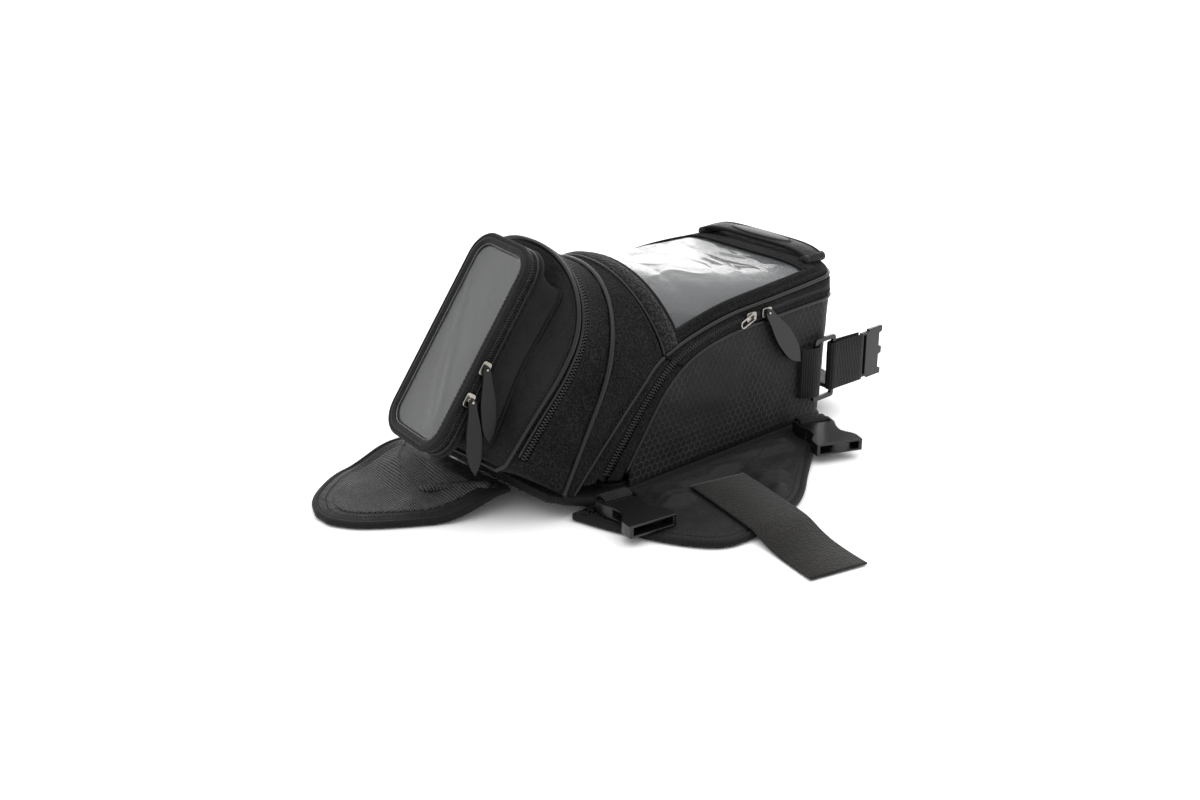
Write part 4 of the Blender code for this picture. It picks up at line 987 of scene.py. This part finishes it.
back_ring = phone_ring(-0.0016, -0.0163)
hem_ring = [on_face(p, 1.13, 0.0022) for p in back_ring]
waist = [a.lerp(b, 0.5) - (a.lerp(b, 0.5) - PHONE @ Vector((0, 0, -0.02))).normalized() * 0.004
         for a, b in zip(back_ring, hem_ring)]
rows = []
for k in range(13):
    t = k / 12
    rows.append([a * (1 - t) ** 2 + w * 2 * t * (1 - t) + b * t * t
                 for a, w, b in zip(back_ring, waist, hem_ring)])
panel("phone_skirt", rows, PHONE @ Vector((0, 0, -0.02)), nylon, "arch_door", ["phone_bellows"],
      thick=0.0007, wrap=True, crease=rumple(0.02, 0.0010))
sweep("phone_skirt_hem", hem_ring, [OUT] * len(hem_ring), strip_section(0.0035, 0.0009),
      grosgrain, "arch_door", closed=True)
print("skirt rows:", len(rows))

# %% [markdown]
# The lid is a clear map window in a padded frame. The front edge is a band of knitted elastic
# mesh over foam, so the lid can fold there. Points on the lid run from 0 at its front to 1 at its
# rear and from -1 to 1 across, and every ring and sheet uses them.

# %% Lid
LID_INSIDE = Vector((0.0, 0.08, 0.09))


def lid_point(t, a, depth=0.0):
    side = -1 if a < 0 else 1
    edge_y, edge_angle = zip_mark(LID_START + (1 - LID_START) * t, 0.0)
    edge_angle += 0.012
    angle = edge_angle + (math.pi / 2 - edge_angle) * (1 - abs(a))
    start = lid_front(angle)
    y = start + (REAR_Y - start) * t
    y = edge_y + (y - edge_y) * (1 - abs(a) ** 8)
    return skin(y, angle, side, depth)


def lid_loop(t0, t1, reach, depth=0.0, across=64, along=44):
    marks = [(t0, reach * (2 * k / across - 1)) for k in range(across)]
    marks += [(t0 + (t1 - t0) * math.sin(math.pi / 2 * k / along), reach) for k in range(along)]
    marks += [(t1, reach * (1 - 2 * k / across)) for k in range(across)]
    marks += [(t0 + (t1 - t0) * math.sin(math.pi / 2 * (1 - k / along)), -reach)
              for k in range(along)]
    return [lid_point(t, a, depth) for t, a in marks]


def lid_outs(loop):
    return [Vector((p.x * 0.9, 0.15 * (p.y - 0.08), p.z - 0.05)).normalized() for p in loop]


frame_rows = [lid_loop(0.0, 1.0, 1.0, 0.0006), lid_loop(0.010, 0.985, 0.985, -0.0006),
              lid_loop(0.024, 0.965, 0.965, -0.0012), lid_loop(0.040, 0.935, 0.945, -0.0006),
              lid_loop(0.052, 0.910, 0.932, 0.0002), lid_loop(0.066, 0.875, 0.918, -0.0010),
              lid_loop(0.078, 0.840, 0.906, -0.0008), lid_loop(0.085, 0.820, 0.900, 0.0006)]
panel("lid_cloth", frame_rows, LID_INSIDE, oxford, "lid", ["lid_frame"], thick=0.0010,
      wrap=True)
inner = lid_loop(0.085, 0.820, 0.900, 0.0002)
sweep("lid_window_binding", inner, lid_outs(inner), round_section(0.0011), grosgrain, "lid",
      closed=True)
seam = lid_loop(0.052, 0.910, 0.932, -0.0003)
stitches("lid_stitch", seam, lid_outs(seam), "lid", closed=True)
band_rows = []
for k, (t, lift) in enumerate([(0.004, 0.0002), (0.012, -0.0014), (0.03, -0.0022),
                               (0.05, -0.0023), (0.068, -0.0016), (0.076, -0.0002)]):
    band_rows.append([lid_point(t, 0.985 * (a / 50 - 1), lift) for a in range(101)])
panel("lid_front_band", band_rows, LID_INSIDE, band_knit, "lid", thick=0.0012)
front_line = [lid_point(0.001, a / 50 - 1, -0.0002) for a in range(101)]
sweep("lid_front_piping", front_line, lid_outs(front_line), round_section(0.0012), piping_vinyl,
      "lid")
print("lid frame:", len(frame_rows), "rings of", len(inner))

# %% [markdown]
# The map window is a larger sheet of clear vinyl, slack in its frame. It has slow swells and a
# few sharp creases that run from its front corners. The lining under it makes the map pocket.

# %% Map window
def film_waves(point, i, j):
    edge = min(1.0, 7 * min(i, 1 - i), 7 * min(j, 1 - j))
    slow = noise.noise(Vector((point.x * 18, point.y * 13, 1.0)))
    fold = noise.noise(Vector((point.x * 22 + point.y * 16, point.y * 20 - point.x * 9, 4.0)))
    sharp = math.exp(-(fold / 0.07) ** 2)
    near_front = 0.35 + 0.65 * (1 - i)
    tiny = noise.noise(point * 90)
    return edge * (0.0011 * slow + 0.0009 * sharp * near_front + 0.00012 * tiny)


def slack(across, along):
    """How far the film hangs below its frame at a place on the lid."""
    return 0.0050 * (1 - abs(across) ** 5) * min(1.0, 5 * along, 5 * (1 - along))


film_rows = [[lid_point(0.070 + 0.765 * i / 70, 0.915 * (k / 40 - 1),
                        0.0011 + slack(k / 40 - 1, i / 70))
              for k in range(81)] for i in range(71)]
panel("map_window_film", film_rows, LID_INSIDE, map_vinyl, "lid", ["lid_window"], thick=0.0005,
      crease=film_waves)
back_rows = [[lid_point(0.060 + 0.870 * i / 30, 0.93 * (k / 20 - 1),
                        0.0055 + slack(k / 20 - 1, i / 30))
              for k in range(41)] for i in range(31)]
panel("map_pocket_lining", back_rows, LID_INSIDE, lining, "lid", ["map_pocket_back"],
      thick=0.0010, crease=rumple(0.05, 0.0008))
print("map window %.0f mm wide" % (1000 * (film_rows[35][80] - film_rows[35][0]).length))

# %% [markdown]
# The carry handle is a padded strap sewn down at both ends across the rear of the lid. Its cover
# is folded round foam, so the section is a flat oval. A plain stitched patch lies on top, and the
# ends are rolled under and held by short sewn tubes.

# %% Carry handle
HANDLE_Y, HANDLE_HALF = 0.170, 0.061


def handle_point(x, proud=0.0):
    """Point on the middle line of the handle's bow over the lid."""
    width, spring, crown, power, _ = section(HANDLE_Y)
    lid_z = spring + crown * (1 - min(0.98, abs(x) / width) ** power) ** (1 / power)
    bow = 0.0042 + 0.0036 * (1 - abs(x / HANDLE_HALF) ** 6)
    return Vector((x, HANDLE_Y, lid_z + bow + proud))


handle = [handle_point(HANDLE_HALF * (k / 30 - 1)) for k in range(61)]
up_outs = [Vector((0, 0, 1))] * 61
sweep("handle_cover", handle, up_outs, round_section(0.0105, 16, 0.26), nylon, "handle",
      ["carry_handle"])
for side in (-1, 1):
    line = [p + Vector((0, side * 0.0092, 0.0008)) for p in handle]
    sweep("handle_edge_%s" % ("rear" if side > 0 else "front"), line, up_outs,
          round_section(0.0016), grosgrain, "handle")
    end = [Vector((side * (HANDLE_HALF - 0.002), HANDLE_Y - 0.012 + 0.003 * k,
                   handle[0].z - 0.0004)) for k in range(9)]
    sweep("handle_roll_%s" % ("right" if side > 0 else "left"), end, [Vector((0, 0, 1))] * 9,
          round_section(0.0040, 12), nylon, "handle")
patch = [(0.036 * math.cos(t), 0.0072 * math.sin(t)) for t in
         [2 * math.pi * k / 40 for k in range(40)]]
patch_rows = []
for scale, lift in ((1.0, 0.0018), (0.97, 0.0031), (0.85, 0.0034), (0.4, 0.0037), (0.06, 0.0038)):
    patch_rows.append([handle_point(x * scale, lift) + Vector((0, y * scale, 0))
                       for x, y in patch])
panel("handle_patch", patch_rows, (0, HANDLE_Y, 0.10), rubber, "handle", thick=0.0005, wrap=True,
      caps=("last",))
ring = [handle_point(x * 0.93, 0.0033) + Vector((0, y * 0.86, 0)) for x, y in patch]
stitches("handle_patch_stitch", ring, [Vector((0, 0, 1))] * 40, "handle", closed=True,
         lift=0.0001)
print("handle %.0f mm long" % (2000 * HANDLE_HALF))

# %% [markdown]
# The magnet flaps are thin foam pads between two cloths, bound round the edge, with flat magnets
# inside. Each is a closed pillow: rings of its outline shrink towards a middle point, first
# under and then over, and the top rings get the soft folds of slack nylon.

# %% Flap helper
def plan_insets(ring, amounts):
    """Rings moved inwards from a flat outline by distances in metres."""
    middle = Vector((sum(x for x, _ in ring) / len(ring), sum(y for _, y in ring) / len(ring)))
    marks = [Vector(p) for p in ring]
    spin = sum(a.cross(b) for a, b in zip(marks, marks[1:] + marks[:1]))
    found = []
    for amount in amounts:
        moved = []
        for k, p in enumerate(marks):
            along = (marks[(k + 1) % len(marks)] - marks[k - 1]).normalized()
            inward = Vector((-along.y, along.x)) * (1 if spin > 0 else -1)
            mixed = (inward + (middle - p).normalized() * 0.6).normalized()
            moved.append(p + mixed * amount)
        found.append(moved)
    return found, middle


def even_loop(points, step):
    """Evenly spaced points round a closed flat outline."""
    loop = [Vector(p) for p in points]
    found, left = [], 0.0
    for a, b in zip(loop, loop[1:] + loop[:1]):
        length = (b - a).length
        while left < length:
            found.append(tuple(a.lerp(b, left / length)))
            left += step
        left -= length
    return found


def flap(name, outline, ground, cover, body, stands_for, height=0.0062, crease=None, hem=0.009,
         face=None):
    """A bound flap: pad, cover, edge binding, stitches and, if given, a face of other cloth."""
    loop = even_loop(outline, 0.0032)
    (edge, near, hem_in), middle = plan_insets(loop, (0.0, 0.0025, hem))

    def lay(marks, lift):
        return [Vector((x, y, ground(y) + lift)) for x, y in marks]

    def shrunk(marks, scale):
        return [middle + (Vector(p) - middle) * scale for p in marks]

    rows = [lay(shrunk(near, 0.05), 0.0006), lay(shrunk(near, 0.6), 0.0006), lay(near, 0.0008),
            lay(edge, height * 0.45), lay(near, height * 0.88), lay(hem_in, height)]
    rows += [lay(shrunk(hem_in, 1 - 0.95 * k / 22), height) for k in range(1, 23)]
    made = panel(name, rows, (middle.x, middle.y, ground(middle.y) + height / 2), cover, body,
                 stands_for, thick=0.0, wrap=True, caps=("first", "last"), crease=crease)
    up = [Vector((0, 0, 1))] * len(loop)
    sweep(name + "_binding", lay(edge, height * 0.48), up,
          round_section(0.0029, 10, 1.0), grosgrain, body, closed=True)
    stitches(name + "_stitch", lay(plan_insets(loop, (hem * 0.62,))[0][0], height), up, body,
             closed=True, lift=0.0002)
    if face:
        (inner,), _ = plan_insets(loop, (hem * 1.05,))
        rows = [lay(inner, height + 0.0004)]
        rows += [lay(shrunk(inner, 1 - 0.95 * k / 26), height + 0.0009) for k in range(1, 27)]
        panel(name + "_face", rows, (middle.x, middle.y, -0.05), face, body, thick=0.0006,
              wrap=True, caps=("last",),
              crease=lambda p, i, j: crease(p, 0.19 + 0.81 * i, j) if crease else 0.0)
    return made


print("flap helper ready")

# %% [markdown]
# The two wings lie flat under the straps and buckles, so their folds stay low there and rise
# only where nothing lies on them. Each one is a D shape hinged along the base.

# %% Wings
WING = [(0.0812, -0.114), (0.118, -0.104), (0.158, -0.087), (0.184, -0.068), (0.191, -0.046),
        (0.186, -0.010), (0.172, 0.034), (0.147, 0.070), (0.122, 0.104), (0.101, 0.128),
        (0.0812, 0.132)]


def wing_folds(point, i, j):
    x, y = abs(point.x), point.y
    beside = abs(y - 0.004 + 0.231 * (x - 0.115))
    free = 1 - ease(0.104, 0.114, x) * (1 - ease(0.027, 0.038, beside))
    free *= ease(0.026, 0.038, abs(y + 0.086)) * ease(0.026, 0.040, abs(y - 0.136))
    ridge = 1 - abs(noise.noise(Vector((x * 42 - y * 7, y * 9, 8.0)))) * 2.4
    small = noise.noise(Vector((x * 60, y * 45, 2.0)))
    inner = min(1.0, 6 * max(0.0, x - 0.082) / 0.03) * ease(0.19, 0.36, i)
    return inner * (free * (0.0068 * max(0.0, ridge) ** 2 + 0.0006 * small) + 0.0003 * small)


for name, side in (("right", 1), ("left", -1)):
    outline = [(side * x, y) for x, y in smooth_curve(WING, 5)]
    flap("wing_cloth_" + name, outline, lambda y: 0.0, nylon, "wing_" + name,
         ["wing_pad_" + name, "wing_cover_" + name], crease=wing_folds)
print("wing %.0f mm long" % (1000 * (WING[-1][1] - WING[0][1])))

# %% [markdown]
# The front flap is faced with spacer mesh so that it grips the tank and doesn't mark the paint.
# It bends down from the base's curled front edge to the ground, ripples where it bends, and has a
# wide plain border with one row of stitches.

# %% Front flap
TONGUE = ([(0.037, -0.1425), (0.031, -0.168), (0.013, -0.203), (-0.013, -0.240),
           (-0.034, -0.2545)], [(-0.050, -0.2545), (-0.075, -0.240), (-0.099, -0.203),
                                (-0.100, -0.168), (-0.090, -0.1425)])


def tongue_ground(y):
    return 0.016 * ease(-0.196, -0.144, y)


def tongue_waves(point, i, j):
    run = point.x * 0.55 + (point.y + 0.2) * 1.0
    fold = math.exp(-((run + 0.004) / 0.009) ** 2) - 0.7 * math.exp(-((run - 0.016) / 0.010) ** 2)
    slow = noise.noise(Vector((point.x * 22 + 5, point.y * 26, 1.5)))
    hold = min(1.0, max(0.0, (-0.146 - point.y) / 0.012)) * ease(0.18, 0.5, i)
    return hold * (0.0036 * fold + 0.0022 * slow)


tongue = smooth_curve(TONGUE[0], 6) + smooth_curve(TONGUE[1], 6)
flap("tongue_cloth", tongue, tongue_ground, nylon, "tongue", ["tongue_pad", "tongue_cover"],
     crease=tongue_waves, hem=0.0125, face=spacer)
print("front flap %.0f mm long" % (1000 * (TONGUE[0][0][1] - TONGUE[0][-1][1])))

# %% [markdown]
# Rigid parts keep the shape of their solids, which only lack the small rounded edges that a mould
# or a die leaves. So each is copied, cleaned of the flat triangles' inner edges, and bevelled:
# those thin edge highlights are what makes hard plastic read as plastic.

# %% Refined hard parts
def refine(node, name, cloth, body, bevel_mm=0.5):
    """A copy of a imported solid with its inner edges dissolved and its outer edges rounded."""
    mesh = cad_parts[node].data.copy()
    mesh.materials.clear()
    work = bmesh.new()
    work.from_mesh(mesh)
    bmesh.ops.remove_doubles(work, verts=work.verts, dist=0.00001)
    bmesh.ops.dissolve_limit(work, angle_limit=math.radians(2), verts=work.verts,
                             edges=work.edges)
    work.to_mesh(mesh)
    work.free()
    mesh.name = name
    piece = place_piece(name, mesh, cloth, body, [node])
    bevel = piece.modifiers.new("mould radius", "BEVEL")
    bevel.width = bevel_mm / 1000
    bevel.segments = 2
    bevel.limit_method = "ANGLE"
    bevel.angle_limit = math.radians(32)
    bevel.harden_normals = True
    mesh.set_sharp_from_angle(angle=math.radians(32))
    return piece


for end in ("front", "rear"):
    for side in ("right", "left"):
        refine("buckle_%s_%s" % (end, side), "socket_%s_%s" % (end, side), acetal,
               "buckle_arm_%s_%s" % (end, side), 0.7)
refine("corner_ring", "ring_moulding", acetal, "ring", 0.6)
refine("rear_plug_buckle", "plug_moulding", acetal, "rear_strap_end", 0.6)
for node, body in (("main_slider_front", "zip_slider_front"),
                   ("main_slider_rear", "zip_slider_rear"),
                   ("phone_slider_upper", "phone_zip_upper"),
                   ("phone_slider_lower", "phone_zip_lower"), ("arch_slider", "arch_zip")):
    refine(node, node + "_casting", nickel, body, 0.5)
for node, body in (("main_pull_rear", "zip_pull_rear"), ("phone_pull_upper", "phone_tag_upper"),
                   ("phone_pull_lower", "phone_tag_lower"), ("arch_pull", "arch_tag")):
    refine(node, node + "_moulding", rubber, body, 0.6)
refine("main_pull_loop", "main_loop_wire", nickel, "zip_pull_front", 0.4)
refine("base_panel", "base_cloth", nylon, "shell", 1.5)
refine("rear_tab", "rear_tab_cloth", nylon, "shell", 1.5)

# %% [markdown]
# Webbing is a flat strip that follows a path and never stretches sideways. Each strip is swept
# along a smoothed path with a thin rounded section; its cross ribs come from the finish.

# %% Webbing, straps and base edge
def strap(name, path, across, width, thick, cloth, body, stands_for=(), closed=False, steps=6):
    """A flat strip of webbing along a smoothed path, lying flat across one direction."""
    points = [Vector(p) for p in smooth_curve([tuple(p) for p in path], steps)]
    across = Vector(across).normalized()
    outs = []
    for k, point in enumerate(points):
        along = points[min(k + 1, len(points) - 1)] - points[max(k - 1, 0)]
        outs.append(across.cross(along).normalized())
    half, rim = width / 2, thick / 2
    shape = [(-half, 0.0), (-half + rim, -rim), (half - rim, -rim), (half, 0.0),
             (half - rim, rim), (half * 0.5, rim * 1.15), (0.0, rim), (-half * 0.5, rim * 1.15),
             (-half + rim, rim)]
    return sweep(name, points, outs, shape, cloth, body, stands_for)


BUCKLES = (("front_right", (0.094, -0.086), -9.0), ("rear_right", (0.0945, 0.136), -22.0),
           ("front_left", (-0.094, -0.086), 189.0), ("rear_left", (-0.0945, 0.136), 202.0))
for name, (x, y), spin in BUCKLES:
    place = Matrix.Translation((x, y, 0.0071)) @ Matrix.Rotation(math.radians(spin), 4, "Z")
    path = [(-0.009, 0, 0.0023), (-0.0072, 0, 0.0045), (-0.0050, 0, 0.0092),
            (-0.0018, 0, 0.0111), (0.0040, 0, 0.0112), (0.0067, 0, 0.0088), (0.0068, 0, 0.0038)]
    strap("loop_" + name, [place @ Vector(p) for p in path], place.to_3x3() @ Vector((0, 1, 0)),
          0.025, 0.0014, webbing, "buckle_arm_" + name, ["buckle_webbing_" + name], steps=4)
ring_x, clear = 0.083, 0.0033       # the ring's middle plane, and the webbing round its bars
loop = [(0.0790, 0.1364, 0.052), (ring_x - clear, 0.1479, 0.052), (ring_x - clear, 0.1540, 0.052),
        (ring_x, 0.1567, 0.052), (ring_x + clear, 0.1540, 0.052), (ring_x + clear, 0.1459, 0.052),
        (0.0809, 0.1364, 0.052)]
strap("ring_webbing", loop, (0, 0, 1), 0.044, 0.0014, webbing, "shell", ["ring_loop"])
tail = [(ring_x + clear + 0.001, 0.208, 0.052), (ring_x + clear, 0.1801, 0.052),
        (ring_x + clear, 0.1716, 0.052), (ring_x, 0.1693, 0.052),
        (ring_x - clear, 0.1716, 0.052), (ring_x - clear, 0.1801, 0.052),
        (ring_x - 0.001, 0.208, 0.052)]
strap("rear_webbing", tail, (0, 0, 1), 0.042, 0.0014, webbing, "rear_strap_end", ["rear_strap"])
hook_loop = finish("hook-and-loop tape, brushed", "#0b0b0a", "#1f1d1b", 0.8, grain(1.7), 0.4,
                   0.12, shine=0.2)
turned = Matrix.Rotation(math.radians(-13), 3, "Z")
on_wing = 0.0085
marks = [(0.0, on_wing), (0.03, on_wing + 0.0003), (0.066, on_wing), (0.086, 0.0078),
         (0.104, 0.0035), (0.120, 0.0014), (0.140, 0.0011), (0.158, 0.0017)]
path = [Vector((0.115, 0.004, 0)) + turned @ Vector((d, 0, 0)) + Vector((0, 0, z))
        for d, z in marks]
strap("hook_loop_strap", path, turned @ Vector((0, 1, 0)), 0.050, 0.0016, hook_loop,
      "hook_strap", ["pull_strap"])
edge_y = [BASE_FRONT + 0.002, -0.124, -0.112, -0.095, -0.075, -0.04, 0.0, 0.05, 0.10, 0.13, 0.150]
edge_y += [0.150 + 0.030 * math.sin(math.radians(a)) for a in range(10, 91, 10)]
right = [Vector((section(y)[0] - (0.010 if y < -0.125 else 0.004 if y < -0.12 else 0.0),
                 y - REAR_LEAN * ease(0.08, REAR_Y, y), 0.004 + floor_height(y) - BASE_TOP))
         for y in edge_y]
ring = right + [Vector((-p.x, p.y, p.z)) for p in right[::-1]]
sweep("base_binding", ring, [Vector((0, 0, 1))] * len(ring), round_section(0.0026, 8, 1.4),
      grosgrain, "shell", closed=True)
print("hook-and-loop strap %.0f mm long" % (1000 * marks[-1][0]))

# %% [markdown]
# What is left are solids that stay as they are, inside the bag or under cloth. They only need
# the finish of their real material: lining cloth, polyethylene board and plated magnets.

# %% Carried-over solids
for node, cloth in (("front_bulkhead", lining), ("liner_board", polyethylene)):
    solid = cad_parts[node]
    solid.data.materials.clear()
    solid.data.materials.append(cloth)
for node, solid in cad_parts.items():
    if "magnet" in node:
        solid.data.materials.clear()
        solid.data.materials.append(magnet_plate)
shown = [node for node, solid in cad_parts.items() if not solid.hide_render]
print("solids still shown:", sorted(shown))

# %% [markdown]
# The bag stands on a plain white table in even studio light. A white world fills every side, a
# ceiling of soft light gives the cloth its form, and a long low panel behind the bag gives the
# clear lid its pale reflection. The camera is a normal lens from the front right.

# %% Table, light and camera
table = bpy.data.meshes.new("table")
table.from_pydata([(-9, -9, 0), (9, -9, 0), (9, 9, 0), (-9, 9, 0)], [], [(0, 1, 2, 3)])
floor = bpy.data.objects.new("table", table)
floor.location.z = -0.0006
bpy.context.scene.collection.objects.link(floor)
white = bpy.data.materials.new("white laminate, satin")
white.use_nodes = True
board = white.node_tree.nodes["Principled BSDF"]
board.inputs["Base Color"].default_value = from_hex("#f7f7f7")
board.inputs["Roughness"].default_value = 0.9
board.inputs["Specular IOR Level"].default_value = 0.1
table.materials.append(white)

world = bpy.data.worlds.new("studio")
bpy.context.scene.world = world
world.use_nodes = True
world.node_tree.nodes["Background"].inputs["Color"].default_value = (1.0, 1.0, 1.0, 1.0)
world.node_tree.nodes["Background"].inputs["Strength"].default_value = 1.0
bpy.context.scene.view_settings.view_transform = "Standard"


def soft_light(name, place, aim, width, height, watts):
    light = bpy.data.lights.new(name, "AREA")
    light.shape = "RECTANGLE"
    light.size, light.size_y, light.energy = width, height, watts
    lamp = bpy.data.objects.new(name, light)
    lamp.location = place
    lamp.rotation_euler = (Vector(aim) - Vector(place)).to_track_quat("-Z", "Y").to_euler()
    bpy.context.scene.collection.objects.link(lamp)
    lamp.visible_camera = False
    return lamp


soft_light("overhead", (-0.4, 0.4, 3.2), (-0.4, 0.4, 0), 7.0, 7.0, 190)
soft_light("low_panel", (-1.15, 1.15, 0.42), (0, 0.05, 0.12), 1.8, 0.55, 8)

turn, rise = math.radians(48), math.radians(22)
back = Vector((math.sin(turn) * math.cos(rise), -math.cos(turn) * math.cos(rise),
               math.sin(rise)))
lens = bpy.data.cameras.new("camera")
lens.lens, lens.sensor_width = 49.2, 36.0
camera = bpy.data.objects.new("camera", lens)
camera.location = (0.916, -0.840, 0.544)
camera.rotation_euler = (-back).to_track_quat("-Z", "Y").to_euler()
bpy.context.scene.collection.objects.link(camera)
bpy.context.scene.camera = camera
print("camera %.2f m from the bag" % (camera.location - Vector((0, 0, 0.08))).length)
